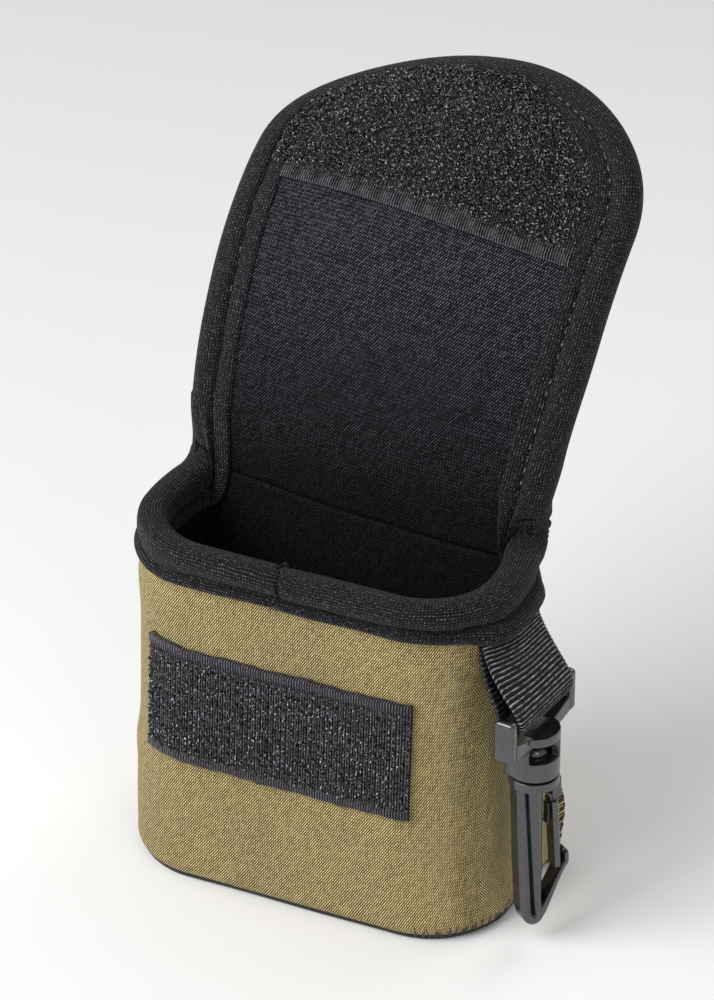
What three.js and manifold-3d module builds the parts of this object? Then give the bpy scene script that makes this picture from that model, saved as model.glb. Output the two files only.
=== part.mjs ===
// Soft pouch for a small action camera: a padded cloth pocket, a long flap that closes over
// its mouth with hook and loop tape, and a swivel snap hook that hangs from a webbing loop.
// Millimetres. +X is the hook's side, -Y is the front, +Z is up, and the base lies on z = 0.
import * as THREE from 'three';
import { mergeVertices } from 'three/addons/utils/BufferGeometryUtils.js';
import Module from 'manifold-3d';

const wasm = await Module();
wasm.setup();
const radians = THREE.MathUtils.degToRad;
const lerp = THREE.MathUtils.lerp;

// Padded cloth: khaki face with foam, and a thin black lining
const skinThickness = 2.9;
const liningThickness = 0.8;
const clearance = 0.3;
const wallThickness = skinThickness + clearance + liningThickness;

// Pocket, measured outside
const waistHalfWidth = 39.3;
const frontReach = 21;
const rearReach = 16.5;
const cornerRadius = 18;
const sideFlare = 1.3;
const rearFlare = 1.5;
const flareHeight = 9;
const rearBulge = 3.2;
const rearBulgeHeight = 11;
const rearBulgeSpread = 9;
const cornerTuck = 1.2;
const cornerTuckHeight = 30;
const frontBulge = 1.6;
const bulgeHeight = 27;
const bulgeSpread = 20;
const rimHeight = 75.6;
const baseRollInset = 2.2;
const baseRollHeight = 3.2;
const wrapTopSetback = 2.2;

// Flap, as it stands open: it leans back, curls towards its tip and twists a little
const flapRootDrop = 2.4;
const flapRootInset = 1;
const flapWidening = 4.5;
const flapLength = 101.5;
const archLength = 29;
const archFullness = 2.24;
const rootLean = -3;
const curl = 40;
const tipCurl = 32;
const curlSpan = 90;
const twist = 16;
const twistSpan = 70;
const sidewaysTilt = 4.6;
const flapCrown = 4.3;
const rootCrown = 2.6;
const crownRise = 35;
const crownHalfWidth = 40;
const liningRise = 0.5;
const flapRootHeight = rimHeight - flapRootDrop;
const flapRootY = rearReach - rootCrown - wallThickness + liningRise;
const flapRootHalfWidth = waistHalfWidth - flapRootInset;
const flapHalfWidth = flapRootHalfWidth + flapWidening;

// Fold lines of the flap, measured up the flap from its root
const rootFoldEnd = 14;
const frontFoldSlack = 4.5;
const frontFoldWidth = 11;
const frontFoldStart = frontReach + rearReach + frontFoldSlack;
const frontFoldEnd = frontFoldStart + frontFoldWidth;

// Edge binding, folded over the raw edge of the cloth
const bindingNose = 1.3;
const bindingRollHalf = 3.3;
const bindingStripHalf = 2.9;
const bindingRollWidth = 5.6;
const innerLegWidth = 9.6;
const outerLegWidth = 7.4;
const outerRollWidth = 5;
const bunchWidth = 6.4;
const rootClothInset = 3.4;
const noseFullness = 0.68;
const bindingJoinX = -2.3;
const bindingCornerSetback = 1.6;
const bindingCornerY = flapRootY - bindingCornerSetback;

// Hook and loop tapes
const tapeWidth = 25;
const tapeBottom = 29.3;
const tapeLeftX = -30.5;
const tapeRightX = 26.6;
const tapeThickness = 1.5;
const loopSetback = 9.6;
const loopStart = frontFoldEnd + loopSetback;
const loopThickness = 1.6;

// Webbing loop
const webWidth = 20;
const webThickness = 1.2;
const webTopGap = 0.3;

// Where the snap hook hangs, beside the pocket's front corner on the right
const hookStandoff = 8;
const hookBesideCorner = 7.2;
const hangerYaw = -5;
const hookYaw = -30;
const hookAxisX = waistHalfWidth + hookStandoff;
const hookAxisY = cornerRadius - frontReach - hookBesideCorner;

// Yoke that hangs on the webbing
const strapDrop = 13.2;
const barRadius = 1.5;
const barGap = 0.2;
const yokeSideWidth = 2.3;
const yokeWindowGap = 0.4;
const yokeDepth = 4.4;
const yokeAboveBar = 1.9;
const yokeEarHeight = 10.7;
const yokeRounding = 1.6;
const yokeFlange = 1.8;
const barHeight = rimHeight - outerLegWidth - strapDrop;
const yokeWindowHalf = webWidth / 2 + yokeWindowGap;
const yokeHalfWidth = yokeWindowHalf + yokeSideWidth;
const yokeTop = barHeight + yokeAboveBar;
const yokeShoulder = yokeTop - yokeEarHeight;
const yokeWindowFloor = yokeShoulder + 2;

// Swivel barrel below the yoke, and the pin whose head turns in its window
const barrelRadius = 5;
const barrelBase = 3.8;
const barrelWindow = 4.2;
const barrelWindowYaw = -29;
const pinRadius = 1.6;
const pinHeadRadius = 2.7;
const pinHeadEdge = 0.6;
const pinHeadDome = 1.9;
const pinGap = 0.12;
const pinFit = 0.05;
const pinSocketDepth = 4;
const pinSocketWall = 1.2;
const swivelGap = 0.5;
const barrelWindowHigh = yokeWindowFloor - yokeFlange;
const barrelWindowLow = barrelWindowHigh - barrelWindow;
const barrelBottom = barrelWindowLow - barrelBase;

// Hook: a disc under the barrel, a spine, an eye and a nose
const hookThickness = 4.4;
const hookDiscThickness = 1.8;
const hookLength = 33.3;
const spineOuterTop = -4.6;
const spineOuterLow = -3.2;
const spineInner = 1;
const spineBend = 7.4;
const spineGrooveDepth = 0.9;
const spineGrooveWidth = 1.1;
const noseOuter = 7.6;
const noseInner = 6.3;
const noseRise = 15.6;
const noseLength = 4.6;
const eyeFloorThickness = 4;
const hookTop = barrelBottom - swivelGap;
const hookTip = hookTop - hookLength;
const noseTop = hookTip + noseRise;
const eyeFloor = hookTip + eyeFloorThickness;

// Sprung gate that shuts the eye
const gateThickness = 1.5;
const gateWidth = 3.4;
const gateOverlap = 3.8;
const gateKnuckleWidth = 1.8;
const gateKnuckleRadius = 1.4;
const gateEar = 0.9;
const gatePinRadius = 0.7;
const gatePinGap = 0.1;
const gatePinY = 4.1;
const springThickness = 0.3;
const springLength = 4.5;
const springWidth = 1.6;
const gateTip = noseTop - gateOverlap;

// Colours, roughness and metalness
const khaki = { color: 0x8d7c48, roughness: 0.95, metalness: 0 };
const blackKnit = { color: 0x15151a, roughness: 0.92, metalness: 0 };
const blackTape = { color: 0x1a191d, roughness: 0.85, metalness: 0 };
const blackWeb = { color: 0x1c1b1e, roughness: 0.7, metalness: 0 };
const hookPlastic = { color: 0x2b2c2f, roughness: 0.3, metalness: 0 };
const springSteel = { color: 0x8c8f94, roughness: 0.35, metalness: 1 };

const pouch = new THREE.Group();
const hanger = new THREE.Group();
const hook = new THREE.Group();
hanger.position.set(hookAxisX, hookAxisY, 0);
hanger.rotation.z = radians(hangerYaw);
hook.rotation.z = radians(hookYaw);
hanger.add(hook);
pouch.add(hanger);

function addPart(name, geometry, finish, parent = pouch) {
  const mesh = new THREE.Mesh(geometry, new THREE.MeshStandardMaterial(finish));
  mesh.name = name;
  parent.add(mesh);
}

// Evenly spaced values from first to last
function spread(first, last, parts) {
  return Array.from({ length: parts + 1 }, (_, i) => lerp(first, last, i / parts));
}

// Closed geometry from points and triangles, turned so that its faces point out
function closedGeometry(points, triangles) {
  const cross = new THREE.Vector3();
  let volume = 0;
  for (let i = 0; i < triangles.length; i += 3) {
    const [a, b, c] = [points[triangles[i]], points[triangles[i + 1]], points[triangles[i + 2]]];
    volume += a.dot(cross.crossVectors(b, c));
  }
  const index = volume < 0 ? triangles.slice().reverse() : triangles;
  const geometry = new THREE.BufferGeometry();
  const positions = points.flatMap((p) => [p.x, p.y, p.z]);
  geometry.setAttribute('position', new THREE.Float32BufferAttribute(positions, 3));
  geometry.setIndex(index);
  return geometry;
}

// Sheet of cloth between two grids of points with the same rows and columns
function slabGeometry(topGrid, bottomGrid) {
  const rows = topGrid.length;
  const columns = topGrid[0].length;
  const top = (r, c) => r * columns + c;
  const bottom = (r, c) => rows * columns + r * columns + c;
  const triangles = [];
  const quad = (a, b, c, d) => triangles.push(a, b, c, a, c, d);
  for (let r = 0; r + 1 < rows; r += 1) {
    for (let c = 0; c + 1 < columns; c += 1) {
      quad(top(r, c), top(r, c + 1), top(r + 1, c + 1), top(r + 1, c));
      quad(bottom(r, c), bottom(r + 1, c), bottom(r + 1, c + 1), bottom(r, c + 1));
    }
    quad(top(r, 0), top(r + 1, 0), bottom(r + 1, 0), bottom(r, 0));
    quad(top(r + 1, columns - 1), top(r, columns - 1), bottom(r, columns - 1), bottom(r + 1, columns - 1));
  }
  for (let c = 0; c + 1 < columns; c += 1) {
    quad(top(0, c + 1), top(0, c), bottom(0, c), bottom(0, c + 1));
    quad(top(rows - 1, c), top(rows - 1, c + 1), bottom(rows - 1, c + 1), bottom(rows - 1, c));
  }
  return closedGeometry([...topGrid.flat(), ...bottomGrid.flat()], triangles);
}

// Section swept along a path: one ring of points for each station, capped at both ends
function ringGeometry(rings, section) {
  const count = section.length;
  const triangles = [];
  for (let i = 0; i + 1 < rings.length; i += 1) {
    for (let j = 0; j < count; j += 1) {
      const here = i * count + j;
      const next = i * count + ((j + 1) % count);
      triangles.push(here, next, next + count, here, next + count, here + count);
    }
  }
  const turn = Math.sign(THREE.ShapeUtils.area(section));
  const last = (rings.length - 1) * count;
  for (const [a, b, c] of THREE.ShapeUtils.triangulateShape(section, [])) {
    const face = [section[a], section[b], section[c]];
    const [p, q] = THREE.ShapeUtils.area(face) * turn > 0 ? [b, c] : [c, b];
    triangles.push(a, q, p, last + a, last + p, last + q);
  }
  return closedGeometry(rings.flat(), triangles);
}

function toSolid(geometry) {
  const bare = new THREE.BufferGeometry();
  bare.setAttribute('position', geometry.getAttribute('position').clone());
  bare.setIndex(geometry.getIndex());
  const merged = mergeVertices(bare, 1e-4);
  const mesh = new wasm.Mesh({
    numProp: 3,
    vertProperties: new Float32Array(merged.getAttribute('position').array),
    triVerts: new Uint32Array(merged.getIndex().array),
  });
  return new wasm.Manifold(mesh);
}

function toGeometry(solid) {
  const mesh = solid.getMesh();
  const geometry = new THREE.BufferGeometry();
  geometry.setAttribute('position', new THREE.Float32BufferAttribute(mesh.vertProperties, 3));
  geometry.setIndex([...mesh.triVerts]);
  return geometry;
}

function cut(geometry, ...tools) {
  return toGeometry(tools.reduce((solid, tool) => solid.subtract(toSolid(tool)), toSolid(geometry)));
}

function join(...geometries) {
  const [first, ...others] = geometries.map(toSolid);
  return toGeometry(others.reduce((solid, other) => solid.add(other), first));
}

// Outside of the pocket at a height
function pocketHalfWidth(z) {
  return waistHalfWidth + sideFlare * Math.exp(-z / flareHeight);
}

function pocketFront(z) {
  return -frontReach - frontBulge * Math.exp(-(((z - bulgeHeight) / bulgeSpread) ** 2));
}

function pocketRear(x, z) {
  const dip = rootCrown * (z / flapRootHeight) * (1 - (x / crownHalfWidth) ** 2);
  const flare = rearFlare * Math.exp(-z / flareHeight);
  const bulge = rearBulge * Math.exp(-(((z - rearBulgeHeight) / rearBulgeSpread) ** 2));
  return rearReach + flare + bulge - dip;
}

// How far the side walls turn inwards where they meet the back
function rearTuck(z) {
  const t = Math.min(1, Math.max(0, (z - cornerTuckHeight) / (rimHeight - cornerTuckHeight)));
  return cornerTuck * t * t * (3 - 2 * t);
}

function baseInset(z) {
  return baseRollInset * Math.max(0, 1 - z / baseRollHeight) ** 2;
}

// The wrap runs in five stretches: left side, left corner, front, right corner, right side
const wrapEnd = 5;
const wrapMiddle = wrapEnd / 2;

// How far the wrap's rear edges stop short of the outside of the back
function wrapEndGap(z) {
  return skinThickness + 2 * clearance + wrapTopSetback * (z / rimHeight) ** 4;
}

function wallPoint(station, z, depth) {
  const side = station < wrapMiddle ? -1 : 1;
  const along = Math.min(station, wrapEnd - station);
  const half = pocketHalfWidth(z);
  const front = pocketFront(z);
  if (along <= 1) {
    const end = pocketRear(half, z) - wrapEndGap(z);
    const x = half - depth - rearTuck(z) * (1 - along) ** 2;
    return new THREE.Vector3(side * x, lerp(end, front + cornerRadius, along), z);
  }
  if (along <= 2) {
    const angle = (along - 1) * Math.PI / 2;
    const radius = cornerRadius - depth;
    const x = side * (half - cornerRadius + radius * Math.cos(angle));
    return new THREE.Vector3(x, front + cornerRadius - radius * Math.sin(angle), z);
  }
  const x = side * (half - cornerRadius) * (wrapMiddle - along) * 2;
  return new THREE.Vector3(x, front + depth, z);
}

// Station of the wrap whose outside lies at x on the front
function stationAtX(x, z) {
  const flat = pocketHalfWidth(z) - cornerRadius;
  const side = Math.sign(x) || 1;
  const over = Math.abs(x) - flat;
  const along = over <= 0
    ? wrapMiddle - Math.abs(x) / flat / 2
    : 2 - Math.asin(Math.min(1, over / cornerRadius)) / (Math.PI / 2);
  return side < 0 ? along : wrapEnd - along;
}

// Station of the wrap's side whose point lies at y
function stationAtY(y, z, side) {
  const end = pocketRear(pocketHalfWidth(z), z) - wrapEndGap(z);
  const along = (y - end) / (pocketFront(z) + cornerRadius - end);
  return side < 0 ? along : wrapEnd - along;
}

const wrapStations = [
  ...spread(0, 1, 2),
  ...spread(1, 2, 7).slice(1),
  ...spread(2, 3, 6).slice(1),
  ...spread(3, 4, 7).slice(1),
  ...spread(4, 5, 2).slice(1),
];

// Flap surface: u across, v up from the root, offset outwards from the face of the lining
function flapLean(u, v) {
  const t = v / curlSpan;
  const turn = twist * (u / crownHalfWidth) * (v / twistSpan);
  return radians(rootLean + curl * t + tipCurl * t * t - turn);
}

function flapPoint(u, v, offset) {
  const steps = 24;
  const step = v / steps;
  let back = 0;
  let up = 0;
  for (let i = 0; i < steps; i += 1) {
    const lean = flapLean(u, (i + 0.5) * step);
    back += Math.sin(lean) * step;
    up += Math.cos(lean) * step;
  }
  const lean = flapLean(u, v);
  const crown = lerp(rootCrown, flapCrown, Math.min(1, v / crownRise));
  const out = offset - liningRise + crown * (u / crownHalfWidth) ** 2;
  back += out * Math.cos(lean);
  up -= out * Math.sin(lean);
  const tilt = radians(sidewaysTilt);
  return new THREE.Vector3(
    u * Math.cos(tilt) + up * Math.sin(tilt),
    flapRootY + back,
    flapRootHeight - u * Math.sin(tilt) + up * Math.cos(tilt),
  );
}

const archStart = flapLength - archLength;

function flapEdge(v) {
  return lerp(flapRootHalfWidth, flapHalfWidth, v / archStart);
}

// Outline of the flap's arch at an angle from its left end, moved inwards by an inset
function archOutline(angle, inset) {
  const power = 2 / archFullness;
  const c = Math.cos(angle);
  const s = Math.max(0, Math.sin(angle));
  const u = -flapHalfWidth * Math.sign(c) * Math.abs(c) ** power;
  const rise = archLength * s ** power;
  const normal = new THREE.Vector2(
    Math.sign(u) * (Math.abs(u) / flapHalfWidth) ** (archFullness - 1) / flapHalfWidth,
    (rise / archLength) ** (archFullness - 1) / archLength,
  ).normalize();
  return new THREE.Vector2(u - normal.x * inset, archStart + rise - normal.y * inset);
}

const clothEdge = bindingNose + clearance;
const liningFace = 0;
const liningBack = liningThickness;
const skinFace = liningThickness + clearance;
const skinBack = wallThickness;
const clothMiddle = wallThickness / 2;

// Straight-sided sheet of the flap between two heights
function flapStrip(vLow, vHigh, inset, low, high) {
  const rows = spread(vLow, vHigh, 3);
  const columns = spread(-1, 1, 12);
  const place = (c, v, offset) => flapPoint(c * (flapEdge(v) - inset), v, offset);
  const grid = (offset) => rows.map((v) => columns.map((c) => place(c, v, offset)));
  return slabGeometry(grid(high), grid(low));
}

// Sheet of the flap from the foot of the arch up to its outline
function archSheet(inset, low, high) {
  const angles = spread(0, Math.PI, 18);
  const rows = spread(0, 1, 5);
  const place = (t, angle, offset) => {
    const end = archOutline(angle, inset);
    const u = lerp(-(flapHalfWidth - inset) * Math.cos(angle), end.x, t);
    return flapPoint(u, lerp(archStart, end.y, t), offset);
  };
  const grid = (offset) => rows.map((t) => angles.map((angle) => place(t, angle, offset)));
  return slabGeometry(grid(high), grid(low));
}

// Binding section: x runs from the edge into the cloth, y outwards from the cloth's middle
const grooveHalf = clothMiddle + clearance;
const bindingSection = [
  [0, 0],
  [bindingNose / 2, -bindingRollHalf * noseFullness],
  [bindingNose * 1.5, -bindingRollHalf],
  [bindingRollWidth - bindingNose / 2, -bindingRollHalf],
  [bindingRollWidth, -bindingStripHalf],
  [innerLegWidth, -bindingStripHalf],
  [innerLegWidth, -grooveHalf],
  [bindingNose, -grooveHalf],
  [bindingNose, grooveHalf],
  [outerLegWidth, grooveHalf],
  [outerLegWidth, bindingStripHalf],
  [outerRollWidth, bindingStripHalf],
  [outerRollWidth - bindingNose / 2, bindingRollHalf],
  [bindingNose * 1.5, bindingRollHalf],
  [bindingNose / 2, bindingRollHalf * noseFullness],
].map(([x, y]) => new THREE.Vector2(x, y));

// Bunched section where the binding turns up from the rim to the flap
function bunchedSection(grow) {
  const half = bindingRollHalf + grow;
  return [
    [-grow, 0],
    [bindingNose / 2 - grow, -half * noseFullness],
    [bindingNose * 2 - grow, -half],
    [bunchWidth + grow, -half],
    [bunchWidth + grow, half],
    [bindingNose * 2 - grow, half],
    [bindingNose / 2 - grow, half * noseFullness],
  ].map(([x, y]) => new THREE.Vector2(x, y));
}

function rimBinding(from, to, parts) {
  const rings = spread(from, to, parts).map((station) => bindingSection.map(
    ({ x, y }) => wallPoint(station, rimHeight - x, clothMiddle - y),
  ));
  return ringGeometry(rings, bindingSection);
}

function flapSideBinding(side, vLow, vHigh) {
  const rings = spread(vLow, vHigh, 5).map((v) => bindingSection.map(
    ({ x, y }) => flapPoint(side * (flapEdge(v) - x), v, clothMiddle + y),
  ));
  return ringGeometry(rings, bindingSection);
}

function flapTipBinding() {
  const rings = spread(0, Math.PI, 24).map((angle) => bindingSection.map(({ x, y }) => {
    const spot = archOutline(angle, x);
    return flapPoint(spot.x, spot.y, clothMiddle + y);
  }));
  return ringGeometry(rings, bindingSection);
}

// Binding at a rear corner, from the rim's side up to the flap's edge
function cornerBinding(side, grow) {
  const section = bunchedSection(grow);
  const startY = bindingCornerY + 2 * clearance - grow;
  const start = wallPoint(stationAtY(startY, rimHeight, side), rimHeight, clothMiddle);
  const topV = rootFoldEnd - clearance + grow;
  const end = flapPoint(side * flapEdge(topV), topV, clothMiddle);
  const above = flapPoint(side * flapEdge(topV), topV + 1, clothMiddle);
  const inside = flapPoint(side * (flapEdge(topV) - 1), topV, clothMiddle);
  const rise = above.clone().sub(end).normalize();
  const inward = inside.clone().sub(end).normalize();
  const reach = (end.y - start.y) * 0.75;
  const path = new THREE.CubicBezierCurve3(
    start,
    start.clone().add(new THREE.Vector3(0, reach, 0)),
    end.clone().sub(rise.clone().multiplyScalar(reach)),
    end,
  );
  const turnOf = (into, out) => new THREE.Quaternion().setFromRotationMatrix(
    new THREE.Matrix4().makeBasis(into, out, into.clone().cross(out)),
  );
  const firstTurn = turnOf(new THREE.Vector3(0, 0, -1), new THREE.Vector3(side, 0, 0));
  const outward = inward.clone().cross(rise).multiplyScalar(side).normalize();
  const lastTurn = turnOf(inward, outward);
  const rings = spread(0, 1, 8).map((t) => {
    const turn = firstTurn.clone().slerp(lastTurn, t);
    const origin = path.getPoint(t);
    return section.map(({ x, y }) => new THREE.Vector3(x, y, 0).applyQuaternion(turn).add(origin));
  });
  return ringGeometry(rings, section);
}

const cornerCutters = [-1, 1].map((side) => cornerBinding(side, clearance));

// Sewn wall of the pocket
function wallSheet(zValues, stations, outer, inner) {
  const grid = (depth) => zValues.map((z) => stations.map((s) => wallPoint(s, z, depth(z))));
  return slabGeometry(grid(outer), grid(inner));
}

function makeWrap() {
  const top = rimHeight - clothEdge;
  const low = spread(0, baseRollHeight, 3);
  const rows = [...low, ...spread(baseRollHeight, top, 8).slice(1)];
  const skin = wallSheet(rows, wrapStations, baseInset, () => skinThickness);
  addPart('wrap_panel', cut(skin, ...cornerCutters), khaki);
  const liningRows = spread(skinThickness + clearance, top, 8);
  const lining = wallSheet(liningRows, wrapStations, () => skinThickness + clearance, () => wallThickness);
  addPart('wrap_lining', cut(lining, ...cornerCutters), blackKnit);
}

function backSheet(zLow, edgeGap, outer, inner) {
  const rows = spread(0, 1, 15);
  const columns = spread(-1, 1, 12);
  const place = (w, c, depth) => {
    const topHalf = pocketHalfWidth(flapRootHeight) - rearTuck(flapRootHeight);
    const topX = c * (topHalf - edgeGap);
    const top = flapRootHeight - topX * Math.tan(radians(sidewaysTilt)) - clearance;
    const z = lerp(zLow, top, w ** 1.5);
    const x = c * (pocketHalfWidth(z) - rearTuck(z) - edgeGap);
    return new THREE.Vector3(x, pocketRear(x, z) - depth(z), z);
  };
  const grid = (depth) => rows.map((w) => columns.map((c) => place(w, c, depth)));
  return slabGeometry(grid(outer), grid(inner));
}

function makeBack() {
  const skin = backSheet(0, 0, baseInset, () => skinThickness);
  addPart('back_panel', cut(skin, ...cornerCutters), khaki);
  const edgeGap = wallThickness + clearance;
  const lining = backSheet(
    skinThickness + clearance,
    edgeGap,
    () => skinThickness + clearance,
    () => wallThickness,
  );
  addPart('back_lining', cut(lining, ...cornerCutters), blackKnit);
}

// Flat floor of the pocket inside the walls at a height
function floorSheet(zLow, zHigh, depth) {
  const half = pocketHalfWidth(zHigh);
  const front = wrapStations.map((s) => wallPoint(s, zHigh, depth)).filter((p) => p.y < 0);
  const rear = spread(1, -1, 6).map((c) => {
    const x = c * (half - depth);
    const reach = Math.min(pocketRear(x, zLow), pocketRear(x, zHigh));
    return new THREE.Vector3(x, reach - depth, 0);
  });
  const outline = [...front, ...rear].map((p) => new THREE.Vector2(p.x, p.y));
  const geometry = new THREE.ExtrudeGeometry(new THREE.Shape(outline), {
    depth: zHigh - zLow,
    bevelEnabled: false,
  });
  geometry.translate(0, 0, zLow);
  return geometry;
}

function makeBase() {
  addPart('base_panel', floorSheet(0, skinThickness, skinThickness + clearance), khaki);
  const low = skinThickness + clearance;
  addPart('base_lining', floorSheet(low, wallThickness, wallThickness + clearance), blackKnit);
}

function makeRim() {
  const leftEnd = stationAtY(bindingCornerY, rimHeight, -1);
  const rightEnd = stationAtY(bindingCornerY, rimHeight, 1);
  const leftOfJoin = stationAtX(bindingJoinX - clearance / 2, rimHeight);
  const rightOfJoin = stationAtX(bindingJoinX + clearance / 2, rimHeight);
  addPart('rim_binding_left', rimBinding(leftEnd, leftOfJoin, 14), blackKnit);
  addPart('rim_binding_right', rimBinding(rightOfJoin, rightEnd, 22), blackKnit);
  addPart('corner_binding_left', cornerBinding(-1, 0), blackKnit);
  addPart('corner_binding_right', cornerBinding(1, 0), blackKnit);
}

function makeFlap() {
  const rootTop = rootFoldEnd - clearance;
  const rootPanel = flapStrip(0, rootTop, rootClothInset, skinFace, skinBack);
  const rootLining = flapStrip(0, rootTop, rootClothInset, liningFace, liningBack);
  addPart('flap_root_panel', cut(rootPanel, ...cornerCutters), khaki);
  addPart('flap_root_lining', cut(rootLining, ...cornerCutters), blackKnit);
  const stretches = [
    ['lower', rootFoldEnd, frontFoldStart],
    ['fold', frontFoldStart, frontFoldEnd],
    ['upper', frontFoldEnd, archStart],
  ];
  for (const [word, low, next] of stretches) {
    const high = next - clearance;
    addPart(`flap_${word}_panel`, flapStrip(low, high, clothEdge, skinFace, skinBack), khaki);
    addPart(`flap_${word}_lining`, flapStrip(low, high, clothEdge, liningFace, liningBack), blackKnit);
    addPart(`flap_${word}_binding_left`, flapSideBinding(-1, low, high), blackKnit);
    addPart(`flap_${word}_binding_right`, flapSideBinding(1, low, high), blackKnit);
  }
  addPart('flap_tip_panel', archSheet(clothEdge, skinFace, skinBack), khaki);
  addPart('flap_tip_lining', archSheet(clothEdge, liningFace, liningBack), blackKnit);
  addPart('flap_tip_binding', flapTipBinding(), blackKnit);
  const loopBack = liningFace - clearance;
  const loopFace = loopBack - loopThickness;
  const loopInset = innerLegWidth + clearance;
  const lowerLoop = flapStrip(loopStart, archStart - clearance, loopInset, loopFace, loopBack);
  addPart('loop_patch_lower', lowerLoop, blackTape);
  addPart('loop_patch_upper', archSheet(loopInset, loopFace, loopBack), blackTape);
}

function makeHookTape() {
  const rows = spread(tapeBottom, tapeBottom + tapeWidth, 4);
  const middle = tapeBottom + tapeWidth / 2;
  const stations = spread(stationAtX(tapeLeftX, middle), stationAtX(tapeRightX, middle), 16);
  const face = () => -clearance - tapeThickness;
  const back = () => -clearance;
  addPart('hook_tape', wallSheet(rows, stations, face, back), blackTape);
}

// Shape in the hanger's X and Z, extruded along Y about its middle
function plateAcross(shape, width) {
  const extrusion = { depth: width, bevelEnabled: false, curveSegments: 10 };
  const geometry = new THREE.ExtrudeGeometry(shape, extrusion);
  geometry.rotateX(Math.PI / 2);
  geometry.translate(0, width / 2, 0);
  return geometry;
}

// Shape in the hanger's Y and Z, extruded along X about its middle
function plateAlong(shape, thickness) {
  const extrusion = { depth: thickness, bevelEnabled: false, curveSegments: 10 };
  const geometry = new THREE.ExtrudeGeometry(shape, extrusion);
  const turn = new THREE.Matrix4().makeBasis(
    new THREE.Vector3(0, 1, 0),
    new THREE.Vector3(0, 0, 1),
    new THREE.Vector3(1, 0, 0),
  );
  geometry.applyMatrix4(turn);
  geometry.translate(-thickness / 2, 0, 0);
  return geometry;
}

function boxBetween(low, high) {
  const size = high.map((value, i) => value - low[i]);
  const geometry = new THREE.BoxGeometry(...size);
  geometry.translate(...low.map((value, i) => value + size[i] / 2));
  return geometry;
}

function uprightRod(radius, zLow, zHigh, sides = 24) {
  const geometry = new THREE.CylinderGeometry(radius, radius, zHigh - zLow, sides);
  geometry.rotateX(Math.PI / 2);
  geometry.translate(0, 0, (zLow + zHigh) / 2);
  return geometry;
}

// Distance from the hook's axis to the pocket's rounded corner, along the hanger's X
const cornerCentre = new THREE.Vector2(waistHalfWidth - cornerRadius, cornerRadius - frontReach);
const hangerX = new THREE.Vector2(Math.cos(radians(hangerYaw)), Math.sin(radians(hangerYaw)));
const hookAxis = new THREE.Vector2(hookAxisX, hookAxisY);
const wallDistance = hookAxis.clone().sub(cornerCentre).dot(hangerX) - cornerRadius;

const rimLipBottom = rimHeight - outerLegWidth;

function makeStrap() {
  const outerRadius = barRadius + barGap + webThickness;
  const innerRadius = barRadius + barGap;
  const top = rimLipBottom - webTopGap;
  const wall = -wallDistance + webTopGap;
  const outFace = wall + 2 * webThickness;
  const shape = new THREE.Shape();
  shape.moveTo(outFace, top);
  shape.lineTo(wall, top);
  shape.lineTo(wall, top - 4 * webThickness);
  shape.lineTo(-outerRadius, barHeight);
  shape.absarc(0, barHeight, outerRadius, Math.PI, Math.PI * 2, false);
  shape.lineTo(outerRadius, barHeight + webThickness);
  shape.closePath();
  const hole = new THREE.Path();
  hole.moveTo(-innerRadius, barHeight);
  hole.absarc(0, barHeight, innerRadius, Math.PI, Math.PI * 2, false);
  hole.lineTo(innerRadius, barHeight + webThickness / 2);
  hole.lineTo(outFace - webThickness, top - 3 * webThickness);
  hole.closePath();
  shape.holes.push(hole);
  addPart('strap_loop', plateAcross(shape, webWidth), blackWeb, hanger);
}

function yokeOutline() {
  const under = yokeShoulder - yokeRounding;
  const shape = new THREE.Shape();
  shape.moveTo(-barrelRadius, barrelBottom);
  shape.lineTo(barrelRadius, barrelBottom);
  shape.lineTo(barrelRadius, under);
  shape.lineTo(yokeHalfWidth - yokeRounding, under);
  shape.lineTo(yokeHalfWidth, yokeShoulder);
  shape.lineTo(yokeHalfWidth, yokeTop - yokeRounding);
  shape.lineTo(yokeHalfWidth - yokeRounding, yokeTop);
  shape.lineTo(yokeRounding - yokeHalfWidth, yokeTop);
  shape.lineTo(-yokeHalfWidth, yokeTop - yokeRounding);
  shape.lineTo(-yokeHalfWidth, yokeShoulder);
  shape.lineTo(yokeRounding - yokeHalfWidth, under);
  shape.lineTo(-barrelRadius, under);
  shape.closePath();
  return shape;
}

function makeYoke() {
  const past = yokeDepth + barrelRadius;
  const webRoom = boxBetween(
    [-past, -yokeWindowHalf, yokeWindowFloor],
    [past, yokeWindowHalf, yokeTop + 1],
  );
  const bar = new THREE.CylinderGeometry(barRadius, barRadius, 2 * yokeWindowHalf + yokeSideWidth, 20);
  bar.translate(0, 0, barHeight);
  const pinHole = uprightRod(pinRadius + pinGap, barrelBottom - 1, barrelWindowLow + 1, 20);
  const room = pinHeadRadius + clearance;
  const headRoom = boxBetween([-room, -room, barrelWindowLow], [barrelRadius + 1, room, barrelWindowHigh]);
  headRoom.rotateZ(radians(barrelWindowYaw));
  const barrel = uprightRod(barrelRadius, barrelBottom, yokeWindowFloor);
  const body = join(plateAlong(yokeOutline(), yokeDepth), barrel);
  addPart('hook_yoke', join(cut(body, webRoom, pinHole, headRoom), bar), hookPlastic, hanger);
}

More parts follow.
